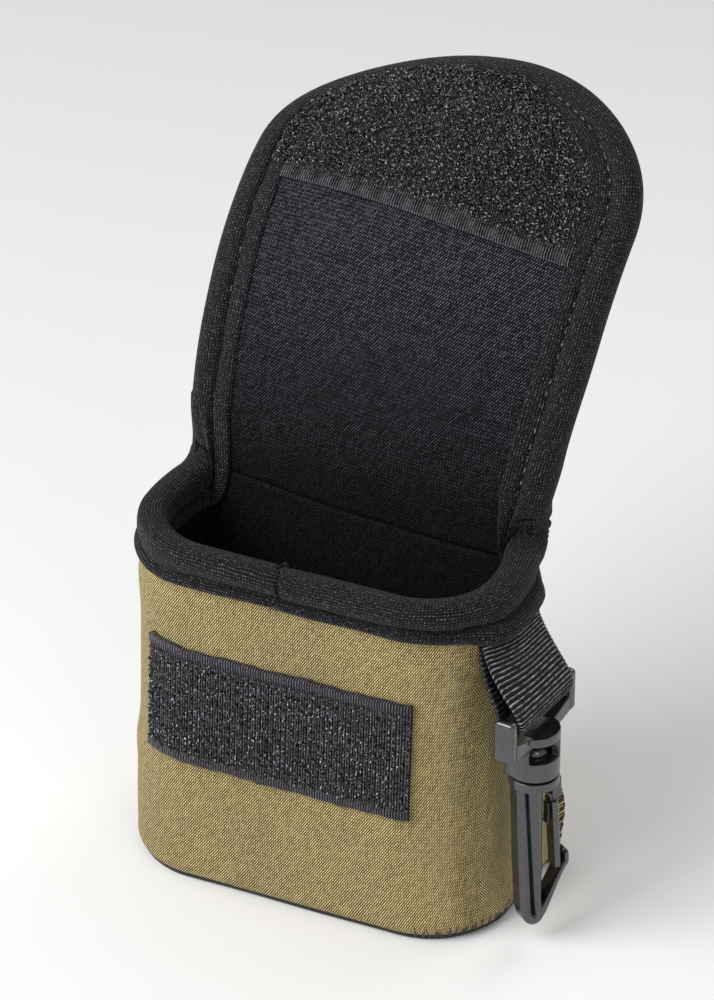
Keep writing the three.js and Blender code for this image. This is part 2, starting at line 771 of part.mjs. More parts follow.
function makeSwivelPin() {
  const low = hookTop - pinSocketDepth + clearance;
  const seat = barrelWindowLow + pinGap;
  const domeBase = seat + pinHeadEdge;
  const profile = [
    new THREE.Vector2(0, low),
    new THREE.Vector2(pinRadius, low),
    new THREE.Vector2(pinRadius, seat),
    new THREE.Vector2(pinHeadRadius, seat),
  ];
  for (const angle of spread(0, Math.PI / 2, 4).slice(0, -1)) {
    const height = domeBase + pinHeadDome * Math.sin(angle);
    profile.push(new THREE.Vector2(pinHeadRadius * Math.cos(angle), height));
  }
  profile.push(new THREE.Vector2(0, domeBase + pinHeadDome));
  const geometry = new THREE.LatheGeometry(profile, 20);
  geometry.rotateX(Math.PI / 2);
  addPart('swivel_pin', geometry, hookPlastic, hook);
}

const discLow = hookTop - hookDiscThickness;
const gatePivot = discLow - gateKnuckleRadius - 2 * clearance;

function hookOutline() {
  const middle = (spineInner + noseInner) / 2;
  const shape = new THREE.Shape();
  shape.moveTo(spineOuterTop, discLow + 1);
  shape.lineTo(spineOuterLow, hookTip + spineBend);
  shape.bezierCurveTo(spineOuterLow, hookTip + 2, spineOuterLow + 2, hookTip, 0.5, hookTip);
  shape.bezierCurveTo(middle, hookTip, noseOuter - 1, hookTip + 7, noseOuter, noseTop - 3);
  shape.lineTo(noseOuter - 0.4, noseTop - 0.5);
  shape.lineTo(noseInner + 0.4, noseTop);
  shape.lineTo(noseInner, noseTop - 0.5);
  shape.lineTo(noseInner, noseTop - noseLength);
  shape.bezierCurveTo(noseInner - 1, eyeFloor + 3, middle, eyeFloor, (spineInner + middle) / 2, eyeFloor);
  shape.quadraticCurveTo(spineInner, eyeFloor, spineInner, eyeFloor + 2);
  shape.lineTo(spineInner, discLow + 1);
  shape.closePath();
  return shape;
}

function makeHook() {
  const half = hookThickness / 2;
  const earLow = gatePivot - gateKnuckleRadius;
  const disc = uprightRod(barrelRadius, discLow, hookTop);
  const bossLow = hookTop - pinSocketDepth - pinSocketWall;
  const boss = uprightRod(pinRadius + pinSocketWall, bossLow, discLow + 0.5, 20);
  const ears = boxBetween([-half, spineInner, earLow], [half, gatePinY + gateEar, discLow + 0.5]);
  const socket = uprightRod(pinRadius + pinFit, hookTop - pinSocketDepth, hookTop + 1, 20);
  const slotHalf = gateKnuckleWidth / 2 + clearance;
  const slotInner = gatePinY - gateKnuckleRadius - 2 * clearance;
  const slotTop = [slotHalf, barrelRadius + 2, discLow - clearance];
  const slot = boxBetween([-slotHalf, slotInner, earLow - 1], slotTop);
  const pinBore = crossRod(gatePinRadius + pinFit, hookThickness + 2);
  const grooveMiddle = (spineOuterLow + spineInner) / 2 - spineGrooveWidth;
  const grooves = [-1, 1].map((face) => {
    const outer = face * (half + 1);
    const inner = face * (half - spineGrooveDepth);
    return boxBetween(
      [Math.min(outer, inner), grooveMiddle - spineGrooveWidth / 2, eyeFloor + 2],
      [Math.max(outer, inner), grooveMiddle + spineGrooveWidth / 2, bossLow - 1],
    );
  });
  const body = join(plateAlong(hookOutline(), hookThickness), disc, boss, ears);
  addPart('hook_body', cut(body, socket, slot, pinBore, ...grooves), hookPlastic, hook);
}

// Rod along the hook's X through the gate's pivot
function crossRod(radius, length) {
  const geometry = new THREE.CylinderGeometry(radius, radius, length, 16);
  geometry.rotateZ(Math.PI / 2);
  geometry.translate(0, gatePinY, gatePivot);
  return geometry;
}

// Quadrilateral bar of the gate between two heights
function gateBar(width, lowY, low, highY, high) {
  const shape = new THREE.Shape();
  shape.moveTo(lowY, low);
  shape.lineTo(lowY + gateThickness, low);
  shape.lineTo(highY + gateThickness, high);
  shape.lineTo(highY, high);
  shape.closePath();
  return plateAlong(shape, width);
}

function makeGate() {
  const armTop = gatePivot - gateKnuckleRadius - 2 * clearance;
  const topY = gatePinY - gateThickness / 2;
  const tipY = noseInner - clearance - gateThickness;
  const arm = gateBar(gateWidth, tipY, gateTip, topY, armTop);
  const neck = gateBar(gateKnuckleWidth, topY, armTop - 1, topY, gatePivot);
  const knuckle = crossRod(gateKnuckleRadius, gateKnuckleWidth);
  const bore = crossRod(gatePinRadius + gatePinGap, hookThickness);
  addPart('gate', cut(join(arm, neck, knuckle), bore), hookPlastic, hook);
  addPart('gate_pin', crossRod(gatePinRadius, hookThickness), springSteel, hook);
  const springFace = topY - clearance;
  const leaf = boxBetween(
    [-springWidth / 2, springFace - springThickness, armTop - springLength],
    [springWidth / 2, springFace, armTop],
  );
  addPart('gate_spring', leaf, springSteel, hook);
}

makeWrap();
makeBack();
makeBase();
makeRim();
makeFlap();
makeHookTape();
makeStrap();
makeYoke();
makeSwivelPin();
makeHook();
makeGate();

export default pouch;
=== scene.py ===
import math

import bmesh
import bpy
import numpy as np
from mathutils import Matrix, Vector


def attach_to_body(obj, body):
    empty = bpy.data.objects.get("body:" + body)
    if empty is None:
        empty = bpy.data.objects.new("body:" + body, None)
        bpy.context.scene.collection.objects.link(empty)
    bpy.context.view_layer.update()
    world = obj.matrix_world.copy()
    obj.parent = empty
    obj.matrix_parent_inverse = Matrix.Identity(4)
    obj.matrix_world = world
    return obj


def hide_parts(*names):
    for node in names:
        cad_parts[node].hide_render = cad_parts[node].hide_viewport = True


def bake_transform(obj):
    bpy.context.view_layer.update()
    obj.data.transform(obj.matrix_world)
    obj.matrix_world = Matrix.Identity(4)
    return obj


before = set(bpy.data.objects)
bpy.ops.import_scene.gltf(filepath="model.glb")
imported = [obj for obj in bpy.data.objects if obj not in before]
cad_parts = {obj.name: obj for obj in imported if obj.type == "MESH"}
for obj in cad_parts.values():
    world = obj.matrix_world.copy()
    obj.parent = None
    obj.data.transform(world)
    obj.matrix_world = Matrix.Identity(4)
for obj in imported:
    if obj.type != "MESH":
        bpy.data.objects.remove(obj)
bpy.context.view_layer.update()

MM = 0.001

# Cloth, as in the solids
SKIN, LINING, GAP = 2.9, 0.8, 0.3
WALL = SKIN + GAP + LINING
CLOTH_EDGE, CLOTH_STEP, FLAP_STEP = 1.6, 1.1, 1.2

# Pocket
WAIST_HALF, FRONT_REACH, REAR_REACH, CORNER = 39.3, 21.0, 16.5, 18.0
SIDE_FLARE, REAR_FLARE, FLARE_HEIGHT = 1.3, 1.5, 9.0
REAR_BULGE, REAR_BULGE_HEIGHT, REAR_BULGE_SPREAD = 3.2, 11.0, 9.0
CORNER_TUCK, TUCK_HEIGHT = 1.2, 30.0
LEFT_SLACK, RIGHT_TUCK = 0.8, 1.3
FRONT_BULGE, BULGE_HEIGHT, BULGE_SPREAD = 1.6, 27.0, 20.0
RIM, MIDDLE = 75.6, 40.0
BASE_ROLL_INSET, BASE_ROLL_HEIGHT, FOOT_GAP = 2.0, 3.6, 1.35
WRAP_TOP_SETBACK = 2.2

# Flap
FLAP_CROWN, ROOT_CROWN, CROWN_RISE, CROWN_HALF, LINING_RISE = 4.3, 2.6, 35.0, 40.0, 0.5
ROOT_Z = RIM - 2.4
ROOT_Y = REAR_REACH - ROOT_CROWN - WALL + LINING_RISE
ROOT_HALF = WAIST_HALF - 1.0
FLAP_HALF = ROOT_HALF + 4.5
FLAP_LENGTH, ARCH_LENGTH, ARCH_FULLNESS = 101.5, 29.0, 2.24
ARCH_START = FLAP_LENGTH - ARCH_LENGTH
ROOT_LEAN, CURL, TIP_CURL, TWIST = -3.0, 40.0, 32.0, 16.0
TILT = math.radians(4.6)
ROOT_FOLD_END = 14.0
LOOP_START = 62.6
ROOT_CUT, UPPER_CUT = 28.0, LOOP_START

# Binding: its inner leg, outer lip, and the grooves inside and outside of its roll
INNER_LEG, OUTER_LEG, ROLL, OUTER_ROLL = 9.6, 7.4, 5.6, 5.0
SHOWN_POINTS, CORNER_RINGS = 60, 44
RIM_JOIN_X, RIM_FAT, RIM_DIP = -2.3, 1.13, -30
STRAP_ARC, CORNER_ARC = 49.0, 61.0
BINDING_CORNER_Y = ROOT_Y - 1.6
SEAM_STEP, SEAM_LENGTH = 2.6, 1.35

# Loop patch and hook tape
PILE_TRIES, PILE_LOOPS, PILE_REACH = 11000, 7600, 3.4
TAPE_LOW, TAPE_WIDTH, TAPE_LEFT, TAPE_RIGHT = 29.3, 25.0, -30.5, 26.6
TAPE_TOP = TAPE_LOW + TAPE_WIDTH
TAPE_RIB, HOOK_COLUMN, HOOK_ROW = 0.55, 0.92, 0.93

# Webbing, yoke and hook
RIB_PITCH, RIB_DEPTH = 0.72, 0.26
HOOK_AXIS = np.array([47.3, -10.2])
HANGER_YAW, HOOK_YAW = math.radians(-5), math.radians(-35)
BAR_Z = 55.0
BARREL = 5.0
HOOK_TOP, HOOK_TIP, NOSE_TOP, EYE_FLOOR = 39.2, 4.6, 20.2, 6.9
NOSE_IN, NOSE_OUT = 6.3, 7.6
GATE_PIVOT = (4.1, 34.1)

rng = np.random.default_rng(7)


def linear(code):
    """Linear colour of a hex sRGB code."""
    parts = [(code >> shift & 255) / 255 for shift in (16, 8, 0)]
    return tuple(c / 12.92 if c <= 0.04045 else ((c + 0.055) / 1.055) ** 2.4 for c in parts) + (1.0,)


def smooth(x, low, high):
    t = np.clip((np.asarray(x, float) - low) / (high - low), 0, 1)
    return t * t * (3 - 2 * t)


def bump(x, middle, width):
    return np.exp(-(((np.asarray(x, float) - middle) / width) ** 2))


def unit(v, least=0.0):
    """Vectors of length 1, along the last axis."""
    return v / (np.linalg.norm(v, axis=-1, keepdims=True) + least)


# Materials
class Shader:
    """Adds nodes to a new material and wires them up."""

    def __init__(self, name):
        self.material = bpy.data.materials.new(name)
        self.material.use_nodes = True
        self.tree = self.material.node_tree
        self.surface = self.tree.nodes["Principled BSDF"]

    def plug(self, socket, value):
        if isinstance(value, bpy.types.NodeSocket):
            self.tree.links.new(value, socket)
        else:
            socket.default_value = value

    def node(self, kind, inputs=None, output=0, **settings):
        """One output of a new node, with its inputs by name or number."""
        made = self.tree.nodes.new("ShaderNode" + kind)
        for key, value in settings.items():
            setattr(made, key, value)
        for key, value in (inputs or {}).items():
            self.plug(made.inputs[key], value)
        return made.outputs[output]

    def math(self, operation, *values):
        return self.node("Math", dict(enumerate(values)), operation=operation)

    def add_up(self, start, *terms):
        """The start value plus each term's value times its weight."""
        for value, weight in terms:
            start = self.math("MULTIPLY_ADD", value, weight, start)
        return start

    def wave(self, value, pitch=1.0):
        """Sine of a value, with half a wave in each pitch."""
        return self.math("SINE", self.math("MULTIPLY", value, math.pi / pitch))

    def cloth_axes(self):
        """Millimetres along and across the cloth, from the cut's own coordinates."""
        uv = self.node("UVMap", uv_map="cloth")
        return uv, self.node("SeparateXYZ", {0: uv}, 0), self.node("SeparateXYZ", {0: uv}, 1)

    def place(self):
        return self.node("TexCoord", output="Object")

    def noise(self, vector, scale, detail, roughness, size="3D"):
        inputs = {"Vector": vector, "Scale": scale, "Detail": detail, "Roughness": roughness}
        return self.node("TexNoise", inputs, noise_dimensions=size)

    def grain(self, scale, roughness=0.7, detail=2.0):
        return self.noise(self.place(), scale, detail, roughness)

    def streak(self, uv, along, across):
        """Noise on the cloth, finer along the axis of the larger scale."""
        stretched = self.node("Mapping", {"Vector": uv, "Scale": (along, across, 1.0)})
        return self.noise(stretched, 1.0, 2.0, 0.6, "2D")

    def fade(self, value, low, high, start, end):
        return self.node("MapRange", {0: value, 1: low, 2: high, 3: start, 4: end})

    def ramp(self, value, *stops):
        made = self.tree.nodes.new("ShaderNodeValToRGB")
        self.plug(made.inputs[0], value)
        elements = made.color_ramp.elements
        while len(elements) < len(stops):
            elements.new(0.5)
        for element, (position, code) in zip(elements, stops):
            element.position = position
            element.color = linear(code)
        return made.outputs[0]

    def shaded(self, color, shade):
        settings = {"data_type": "RGBA", "blend_type": "MULTIPLY"}
        return self.node("Mix", {0: 1.0, 6: color, 7: shade}, 2, **settings)

    def grey(self, value):
        return self.node("CombineColor", {0: value, 1: value, 2: value})

    def relief(self, height, distance, strength=1.0, **under):
        inputs = {"Height": height, "Distance": distance * MM, "Strength": strength, **under}
        return self.node("Bump", inputs)

    def finish(self, color, roughness, normal=None, **sockets):
        self.plug(self.surface.inputs["Base Color"], color)
        self.plug(self.surface.inputs["Roughness"], roughness)
        if normal is not None:
            self.plug(self.surface.inputs["Normal"], normal)
        for name, value in sockets.items():
            self.surface.inputs[name.replace("_", " ")].default_value = value
        return self.material


def knit_stitches(s, wale, course, turns=None):
    """Knitted stitches on slanting rows: their height from 0 to 1, and a number for each.

    Past the length `turns` across the cloth, the rows slant the other way."""
    uv, across, up = s.cloth_axes()
    wander = s.noise(uv, 0.3, 2.0, 0.6, "2D")
    u = s.add_up(s.math("DIVIDE", across, wale), (wander, 0.7))
    rows = s.add_up(s.math("DIVIDE", up, course), (wander, 0.7))
    v = s.math("SUBTRACT", rows, u)
    wide, tall = (s.wave(s.math("FRACT", value)) for value in (u, v))
    if turns is not None:
        other = s.wave(s.math("FRACT", s.math("ADD", rows, u)))
        share = s.fade(across, turns, turns + 8.0, 0.0, 1.0)
        tall = s.add_up(tall, (s.math("SUBTRACT", other, tall), share))
    cell = s.node("CombineXYZ", {0: s.math("FLOOR", u), 1: s.math("FLOOR", v)})
    number = s.node("TexWhiteNoise", {"Vector": cell}, noise_dimensions="2D")
    return s.math("MULTIPLY", tall, s.math("MULTIPLY_ADD", wide, 0.3, 0.7)), number


def khaki_knit():
    s = Shader("khaki_knit")
    stitch, number = knit_stitches(s, 0.49, 0.745, 99.0)
    value = s.add_up(-0.35, (stitch, 1.0), (s.grain(2600.0), 0.4), (number, 0.14))
    color = s.ramp(value, (0.18, 0x040200), (0.385, 0x3C2E0E), (0.61, 0xA38C4D), (0.84, 0xF2DD9C))
    color = s.shaded(color, s.ramp(s.grain(40.0, 0.5), (0.3, 0xF0F0F0), (0.7, 0xFFFFFF)))
    return s.finish(color, 0.92, s.relief(value, 0.3), Sheen_Weight=0.08, Sheen_Roughness=0.5)


def lining_knit():
    s = Shader("lining_knit")
    stitch, number = knit_stitches(s, 0.57, 0.8)
    value = s.add_up(-0.2, (stitch, 0.75), (number, 0.14), (s.grain(2400.0, 0.75), 0.5))
    color = s.ramp(value, (0.28, 0x000000), (0.48, 0x030204), (0.68, 0x141217), (0.9, 0x6C6573))
    # Painted shade: the lining's colour is darkened towards the bottom, to 0.22 of it at 78 mm up, rising
    # to full at 125 mm.
    height = s.node("SeparateXYZ", {0: s.place()}, 2)
    color = s.shaded(color, s.grey(s.fade(height, 0.078, 0.125, 0.22, 1.0)))
    return s.finish(color, 0.8, s.relief(value, 0.3), Specular_IOR_Level=0.15)


def binding_knit():
    s = Shader("binding_knit")
    uv, along, around = s.cloth_axes()
    line = s.add_up(around, (s.noise(uv, 0.2, 2.0, 0.6, "2D"), 0.8))
    ribs = s.math("ABSOLUTE", s.wave(line, 0.58))
    loops = s.wave(s.add_up(along, (line, 1.1)), 0.3)
    streak = s.streak(uv, 0.9, 1.6)
    value = s.add_up(-0.28, (s.grain(2400.0, 0.75), 0.85), (ribs, 0.36), (loops, 0.1), (streak, 0.15))
    color = s.ramp(value, (0.26, 0x010102), (0.46, 0x070709), (0.62, 0x222126), (0.82, 0x7C7882))
    gloss = {"Specular_IOR_Level": 0.2, "Sheen_Weight": 0.05, "Sheen_Roughness": 0.4}
    return s.finish(color, 0.78, s.relief(value, 0.3), **gloss)


def tape_ground():
    """Ground of the hook and loop tapes: fine ribs across, on the selvedge and under the pile."""
    s = Shader("tape_ground")
    ribs = s.math("ABSOLUTE", s.wave(s.cloth_axes()[1], TAPE_RIB))
    value = s.add_up(-0.26, (ribs, 0.85), (s.grain(2400.0), 0.45))
    color = s.ramp(value, (0.24, 0x000001), (0.5, 0x050407), (0.7, 0x232025), (0.9, 0x88828B))
    return s.finish(color, 0.7, s.relief(value, 0.25, 0.9), Specular_IOR_Level=0.35)


def fibre(name, low, high, roughness=0.5, start=0.43):
    s = Shader(name)
    color = s.ramp(s.grain(2000.0, 0.6, 1.0), (start, low), (0.67, high))
    return s.finish(color, roughness, Sheen_Weight=0.05)


def webbing_weave():
    """Ribbed weave, with painted shade past the fold, where the return lies in shadow."""
    s = Shader("webbing_weave")
    uv, along, _ = s.cloth_axes()
    # The ribs' colour is the woven rib pattern with painted shade in its valleys, which line up with the
    # band's geometric valleys.
    ribs = s.math("ABSOLUTE", s.wave(along, RIB_PITCH))
    streak = s.streak(uv, 2.0, 0.5)
    value = s.add_up(-0.28, (ribs, 0.85), (s.grain(1300.0), 0.3), (streak, 0.3))
    color = s.ramp(value, (0.3, 0x000000), (0.57, 0x020203), (0.77, 0x141315), (0.95, 0xA29DA5))
    # Painted shade: from 15 to 19 mm along the band the colour fades to a fifth, over the strap's return.
    color = s.shaded(color, s.grey(s.fade(along, 15.0, 19.0, 1.0, 0.2)))
    return s.finish(color, 0.5, s.relief(value, 0.2, 0.8), Specular_IOR_Level=0.3)


def moulded_plastic():
    s = Shader("moulded_plastic")
    smear = s.grain(160.0, 0.6, 3.0)
    color = s.ramp(smear, (0.35, 0x18181A), (0.65, 0x2B2A2E))
    normal = s.relief(s.grain(900.0, 0.6, 3.0), 0.015, 0.5, Normal=s.relief(smear, 0.2, 0.5))
    return s.finish(color, s.math("MULTIPLY_ADD", smear, 0.14, 0.1), normal, IOR=1.8)


def plain_steel():
    s = Shader("plain_steel")
    return s.finish(s.ramp(s.grain(800.0, 0.5), (0.3, 0x3C3D40), (0.7, 0x56575B)), 0.3, Metallic=1.0)


# Each look is a material and the name of a slot
KHAKI = khaki_knit(), "khaki_cloth"
BLACK_LINING = lining_knit(), "black_knit"
BINDING = binding_knit(), "black_knit"
TAPE = tape_ground(), "black_tape"
PILE = fibre("loop_pile", 0x000000, 0xB6B2BC, 0.3, 0.575), "black_tape"
HOOKS = fibre("hook_monofilament", 0x000000, 0xCCC8D2, 0.22, 0.55), "black_tape"
LIGHT_THREAD = fibre("light_thread", 0x2C2B2F, 0x77747B), "black_knit"
FUZZ = fibre("fuzz_thread", 0x17151A, 0x524E57), "black_knit"
DARK_THREAD = fibre("dark_thread", 0x121015, 0x34303A), "black_tape"
# Black of the painted shade in the gap under the pocket's foot.
FOOT_SHADE = fibre("foot_shade_black", 0x020102, 0x151317), "black_tape"
WEBBING = webbing_weave(), "black_webbing"
PLASTIC = moulded_plastic(), "hook_plastic"
STEEL = plain_steel(), "spring_steel"


# Meshes
def placed(name, data):
    """New object, put in the scene."""
    made = bpy.data.objects.new(name, data)
    bpy.context.scene.collection.objects.link(made)
    return made


def add_piece(name, points, faces, look, uv=None, shade_smooth=True, flat_from=None):
    """Mesh object from points in millimetres, faces turned out, with the cut's coordinates."""
    material, slot = look
    mesh = bpy.data.meshes.new(name)
    mesh.from_pydata((np.asarray(points, float) * MM).tolist(), [], faces)
    bm = bmesh.new()
    bm.from_mesh(mesh)
    bmesh.ops.recalc_face_normals(bm, faces=bm.faces)
    bm.to_mesh(mesh)
    bm.free()
    if uv is not None:
        index = np.zeros(len(mesh.loops), int)
        mesh.loops.foreach_get("vertex_index", index)
        layer = mesh.uv_layers.new(name="cloth")
        layer.data.foreach_set("uv", np.asarray(uv, float)[index].ravel())
    last = len(faces) if flat_from is None else flat_from
    mesh.polygons.foreach_set("use_smooth", [shade_smooth and i < last for i in range(len(faces))])
    mesh.materials.append(material)
    piece = placed(name, mesh)
    return piece


def attach(piece, body, *nodes):
    """Rides a piece on a body, in place of the solids that it shows."""
    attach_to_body(piece, body)
    if nodes:
        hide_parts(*nodes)


def grid_faces(rows, columns, start=0, closed=False):
    r, c = np.meshgrid(np.arange(rows - 1), np.arange(columns if closed else columns - 1), indexing="ij")
    here = start + r * columns + c
    after = start + r * columns + (c + 1) % columns
    return np.stack([here, after, after + columns, here + columns], -1).reshape(-1, 4).tolist()


def arc_lengths(points, axis=0):
    steps = np.linalg.norm(np.diff(points, axis=axis), axis=-1)
    pad = [(1, 0) if i == axis else (0, 0) for i in range(steps.ndim)]
    return np.cumsum(np.pad(steps, pad), axis=axis)


def add_slab(name, outer, inner, look, axes):
    """Sheet of cloth between two grids of points of one shape, with its own two axes."""
    rows, columns = outer.shape[:2]
    count = rows * columns
    faces = grid_faces(rows, columns) + grid_faces(rows, columns, count)
    border = [r * columns for r in range(rows)]
    border += [(rows - 1) * columns + c for c in range(1, columns)]
    border += [r * columns + columns - 1 for r in range(rows - 2, -1, -1)]
    border += list(range(columns - 2, 0, -1))
    flat_from = len(faces)
    faces += [(a, b, b + count, a + count) for a, b in zip(border, border[1:] + border[:1])]
    points = np.concatenate([outer.reshape(-1, 3), inner.reshape(-1, 3)])
    uv = np.stack(np.broadcast_arrays(*axes), -1).reshape(-1, 2)
    return add_piece(name, points, faces, look, np.tile(uv, (2, 1)), flat_from=flat_from)


def loft_faces(count, size):
    """Faces of a closed section carried through rings, and of its two flat ends."""
    ends = [tuple(range(size)), tuple(range((count - 1) * size, count * size))]
    return grid_faces(count, size, closed=True) + ends


def add_sweep(name, rings, look, along=None):
    """Closed section carried along a path, with flat ends."""
    rings = np.asarray(rings, float)
    count, size = rings.shape[:2]
    if along is None:
        along = arc_lengths(rings.mean(1))
    around = arc_lengths(rings, 1)[count // 2]
    uv = np.stack(np.meshgrid(along, around, indexing="ij"), -1).reshape(-1, 2)
    faces = loft_faces(count, size)
    return add_piece(name, rings.reshape(-1, 3), faces, look, uv, flat_from=len(faces) - 2)


def add_tubes(name, paths, radii, look, sides):
    """Many short tubes in one piece: paths is (tubes, points, 3), radii is one per point."""
    paths = np.asarray(paths, float)
    count, steps = paths.shape[:2]
    radii = np.broadcast_to(np.asarray(radii, float), (count, steps))
    tangent = unit(np.gradient(paths, axis=1), 1e-9)
    helper = np.where(np.abs(tangent[..., 2:]) > 0.9, [[1.0, 0, 0]], [[0, 0, 1.0]])
    side = unit(np.cross(tangent, helper), 1e-9)
    other = np.cross(tangent, side)
    angles = (np.arange(sides) * 2 * math.pi / sides)[:, None]
    circle = side[..., None, :] * np.cos(angles) + other[..., None, :] * np.sin(angles)
    points = (paths[:, :, None, :] + circle * radii[..., None, None]).reshape(-1, 3)
    tube = np.arange(count) * steps * sides
    quads = np.array(grid_faces(steps, sides, closed=True))
    faces = (tube[:, None, None] + quads[None]).reshape(-1, 4).tolist()
    for low in (0, (steps - 1) * sides):
        faces += (tube[:, None] + low + np.arange(sides)).tolist()
    return add_piece(name, points, faces, look)


def add_stitches(name, starts, ends, radius, look, lift=(0, 0, 0)):
    """Short threads between pairs of points, thin at both ends and lifted in the middle."""
    t = np.array([0, 0.12, 0.35, 0.65, 0.88, 1.0])[:, None]
    starts, ends = np.asarray(starts, float), np.asarray(ends, float)
    lift = np.broadcast_to(lift, starts.shape)[:, None]
    paths = starts[:, None] + (ends - starts)[:, None] * t + lift * (4 * t * (1 - t))
    return add_tubes(name, paths, radius * np.array([0.35, 0.85, 1, 1, 0.85, 0.35]), look, 6)


# Pocket's walls
def pocket_half(z):
    return WAIST_HALF + SIDE_FLARE * np.exp(-z / FLARE_HEIGHT)


def pocket_front(z):
    return -FRONT_REACH - FRONT_BULGE * bump(z, BULGE_HEIGHT, BULGE_SPREAD)


def pocket_rear(x, z):
    dip = ROOT_CROWN * (z / ROOT_Z) * (1 - (x / CROWN_HALF) ** 2)
    bulge = REAR_BULGE * bump(z, REAR_BULGE_HEIGHT, REAR_BULGE_SPREAD)
    return REAR_REACH + REAR_FLARE * np.exp(-z / FLARE_HEIGHT) + bulge - dip


def rear_tuck(z, side=-1.0):
    """How far the rear corners are drawn in, more so on the right, where the strap hangs."""
    return CORNER_TUCK * smooth(z, TUCK_HEIGHT, RIM) + RIGHT_TUCK * (side > 0) * smooth(z, 36, 60)


def wrap_end(z):
    """Where the wrap's side ends in front of the back."""
    setback = WRAP_TOP_SETBACK * np.clip(z / RIM, 0, 1) ** 4
    return pocket_rear(pocket_half(z), z) - SKIN - 2 * GAP - setback


def wall_point(station, z, depth):
    """Point of the wrap: left side 0 to 1, left corner 1 to 2, front 2 to 3, then mirrored."""
    station, z, depth = np.broadcast_arrays(*(np.asarray(v, float) for v in (station, z, depth)))
    side = np.where(station < 2.5, -1.0, 1.0)
    along = np.minimum(station, 5 - station)
    half, front, end = pocket_half(z), pocket_front(z), wrap_end(z)
    depth = depth + LEFT_SLACK * bump(station, 1.5, 0.6) * smooth(z, 10, 30)
    radius = CORNER - depth
    angle = (np.clip(along, 1, 2) - 1) * math.pi / 2
    x_side = half - depth - rear_tuck(z, side) * (1 - np.minimum(along, 1)) ** 2
    y_side = end + (front + CORNER - end) * along
    x_corner = half - CORNER + radius * np.cos(angle)
    y_corner = front + CORNER - radius * np.sin(angle)
    x_front, y_front = (half - CORNER) * (2.5 - along) * 2, front + depth
    x = np.where(along <= 1, x_side, np.where(along <= 2, x_corner, x_front))
    y = np.where(along <= 1, y_side, np.where(along <= 2, y_corner, y_front))
    return np.stack([side * x, y, z], -1)


def station_at_x(x, z):
    flat = pocket_half(z) - CORNER
    over = abs(x) - flat
    turn = np.arcsin(np.clip(over / CORNER, 0, 1)) / (math.pi / 2)
    along = np.where(over <= 0, 2.5 - abs(x) / flat / 2, 2 - turn)
    return float(along if x < 0 else 5 - along)


def station_at_y(y, z, side):
    along = float((y - wrap_end(z)) / (pocket_front(z) + CORNER - wrap_end(z)))
    return along if side < 0 else 5 - along


def even_stations(first, last, step, z=MIDDLE):
    """Stations a step of cloth apart along the outside of the wrap."""
    fine = np.linspace(first, last, 400)
    lengths = arc_lengths(wall_point(fine, z, 0.0))
    count = max(2, int(lengths[-1] / step) + 1)
    return np.interp(np.linspace(0, lengths[-1], count), lengths, fine)


WRAP_RUN = float(arc_lengths(wall_point(np.linspace(0, 5, 400), MIDDLE, 0.0))[-1])


# Flap's surface
def flap_lean(u, v):
    curl = CURL * (v / 90) + TIP_CURL * (v / 90) ** 2
    return np.radians(ROOT_LEAN + curl - TWIST * (u / CROWN_HALF) * (v / 70))


def flap_point(u, v, offset):
    """Point u across and v up the flap, offset outwards from the face of its lining."""
    u, v, offset = np.broadcast_arrays(*(np.asarray(x, float) for x in (u, v, offset)))
    parts = (np.arange(24) + 0.5) / 24
    lean = flap_lean(u[..., None], v[..., None] * parts)
    back, rise = np.sin(lean).mean(-1) * v, np.cos(lean).mean(-1) * v
    lean = flap_lean(u, v)
    crown = ROOT_CROWN + (FLAP_CROWN - ROOT_CROWN) * np.minimum(1, v / CROWN_RISE)
    out = offset - LINING_RISE + crown * (u / CROWN_HALF) ** 2
    back, rise = back + out * np.cos(lean), rise - out * np.sin(lean)
    x = u * math.cos(TILT) + rise * math.sin(TILT)
    z = ROOT_Z - u * math.sin(TILT) + rise * math.cos(TILT)
    return np.stack([x, ROOT_Y + back, z], -1)


def flap_edge(v):
    return ROOT_HALF + (FLAP_HALF - ROOT_HALF) * np.asarray(v, float) / ARCH_START


def root_pull(side, v):
    """How far the binding is drawn in beside the flap's root on the right."""
    return (side > 0) * (1.6 - 0.9 * smooth(v, 22, 48) - 0.7 * smooth(v, 10, 22))


def arch_outline(angle, inset):
    power = 2 / ARCH_FULLNESS
    c, s = np.cos(angle), np.clip(np.sin(angle), 0, None)
    u = -FLAP_HALF * np.sign(c) * np.abs(c) ** power
    rise = ARCH_LENGTH * s**power
    nx = np.sign(u) * (np.abs(u) / FLAP_HALF) ** (ARCH_FULLNESS - 1) / FLAP_HALF
    ny = (rise / ARCH_LENGTH) ** (ARCH_FULLNESS - 1) / ARCH_LENGTH
    size = np.hypot(nx, ny)
    return u - nx / size * inset, ARCH_START + rise - ny / size * inset


# Unevenness of the foam cloth
def flap_ripple(u, v):
    return 0.22 * np.sin(u * 0.13 + 1.1) * np.sin(v * 0.09) + 0.12 * np.sin(u * 0.29 - v * 0.21)


def ear_swell(z):
    """Swelling of the pocket's rear edges above its foot."""
    return bump(z, 12, 10)


def under_binding(u, v):
    """How deep the flap's cloth is pressed in under its binding."""
    rise = (v - ARCH_START).clip(0)
    across, up = np.abs(u) / FLAP_HALF, rise / ARCH_LENGTH
    ratio = (across**ARCH_FULLNESS + up**ARCH_FULLNESS) ** (1 / ARCH_FULLNESS)
    inside = (1 / ratio.clip(0.01) - 1) * np.hypot(u, rise)
    inside = np.where(v < ARCH_START, flap_edge(v) - np.abs(u), inside)
    return 1.1 * smooth(6.7 - inside, 0, 1)


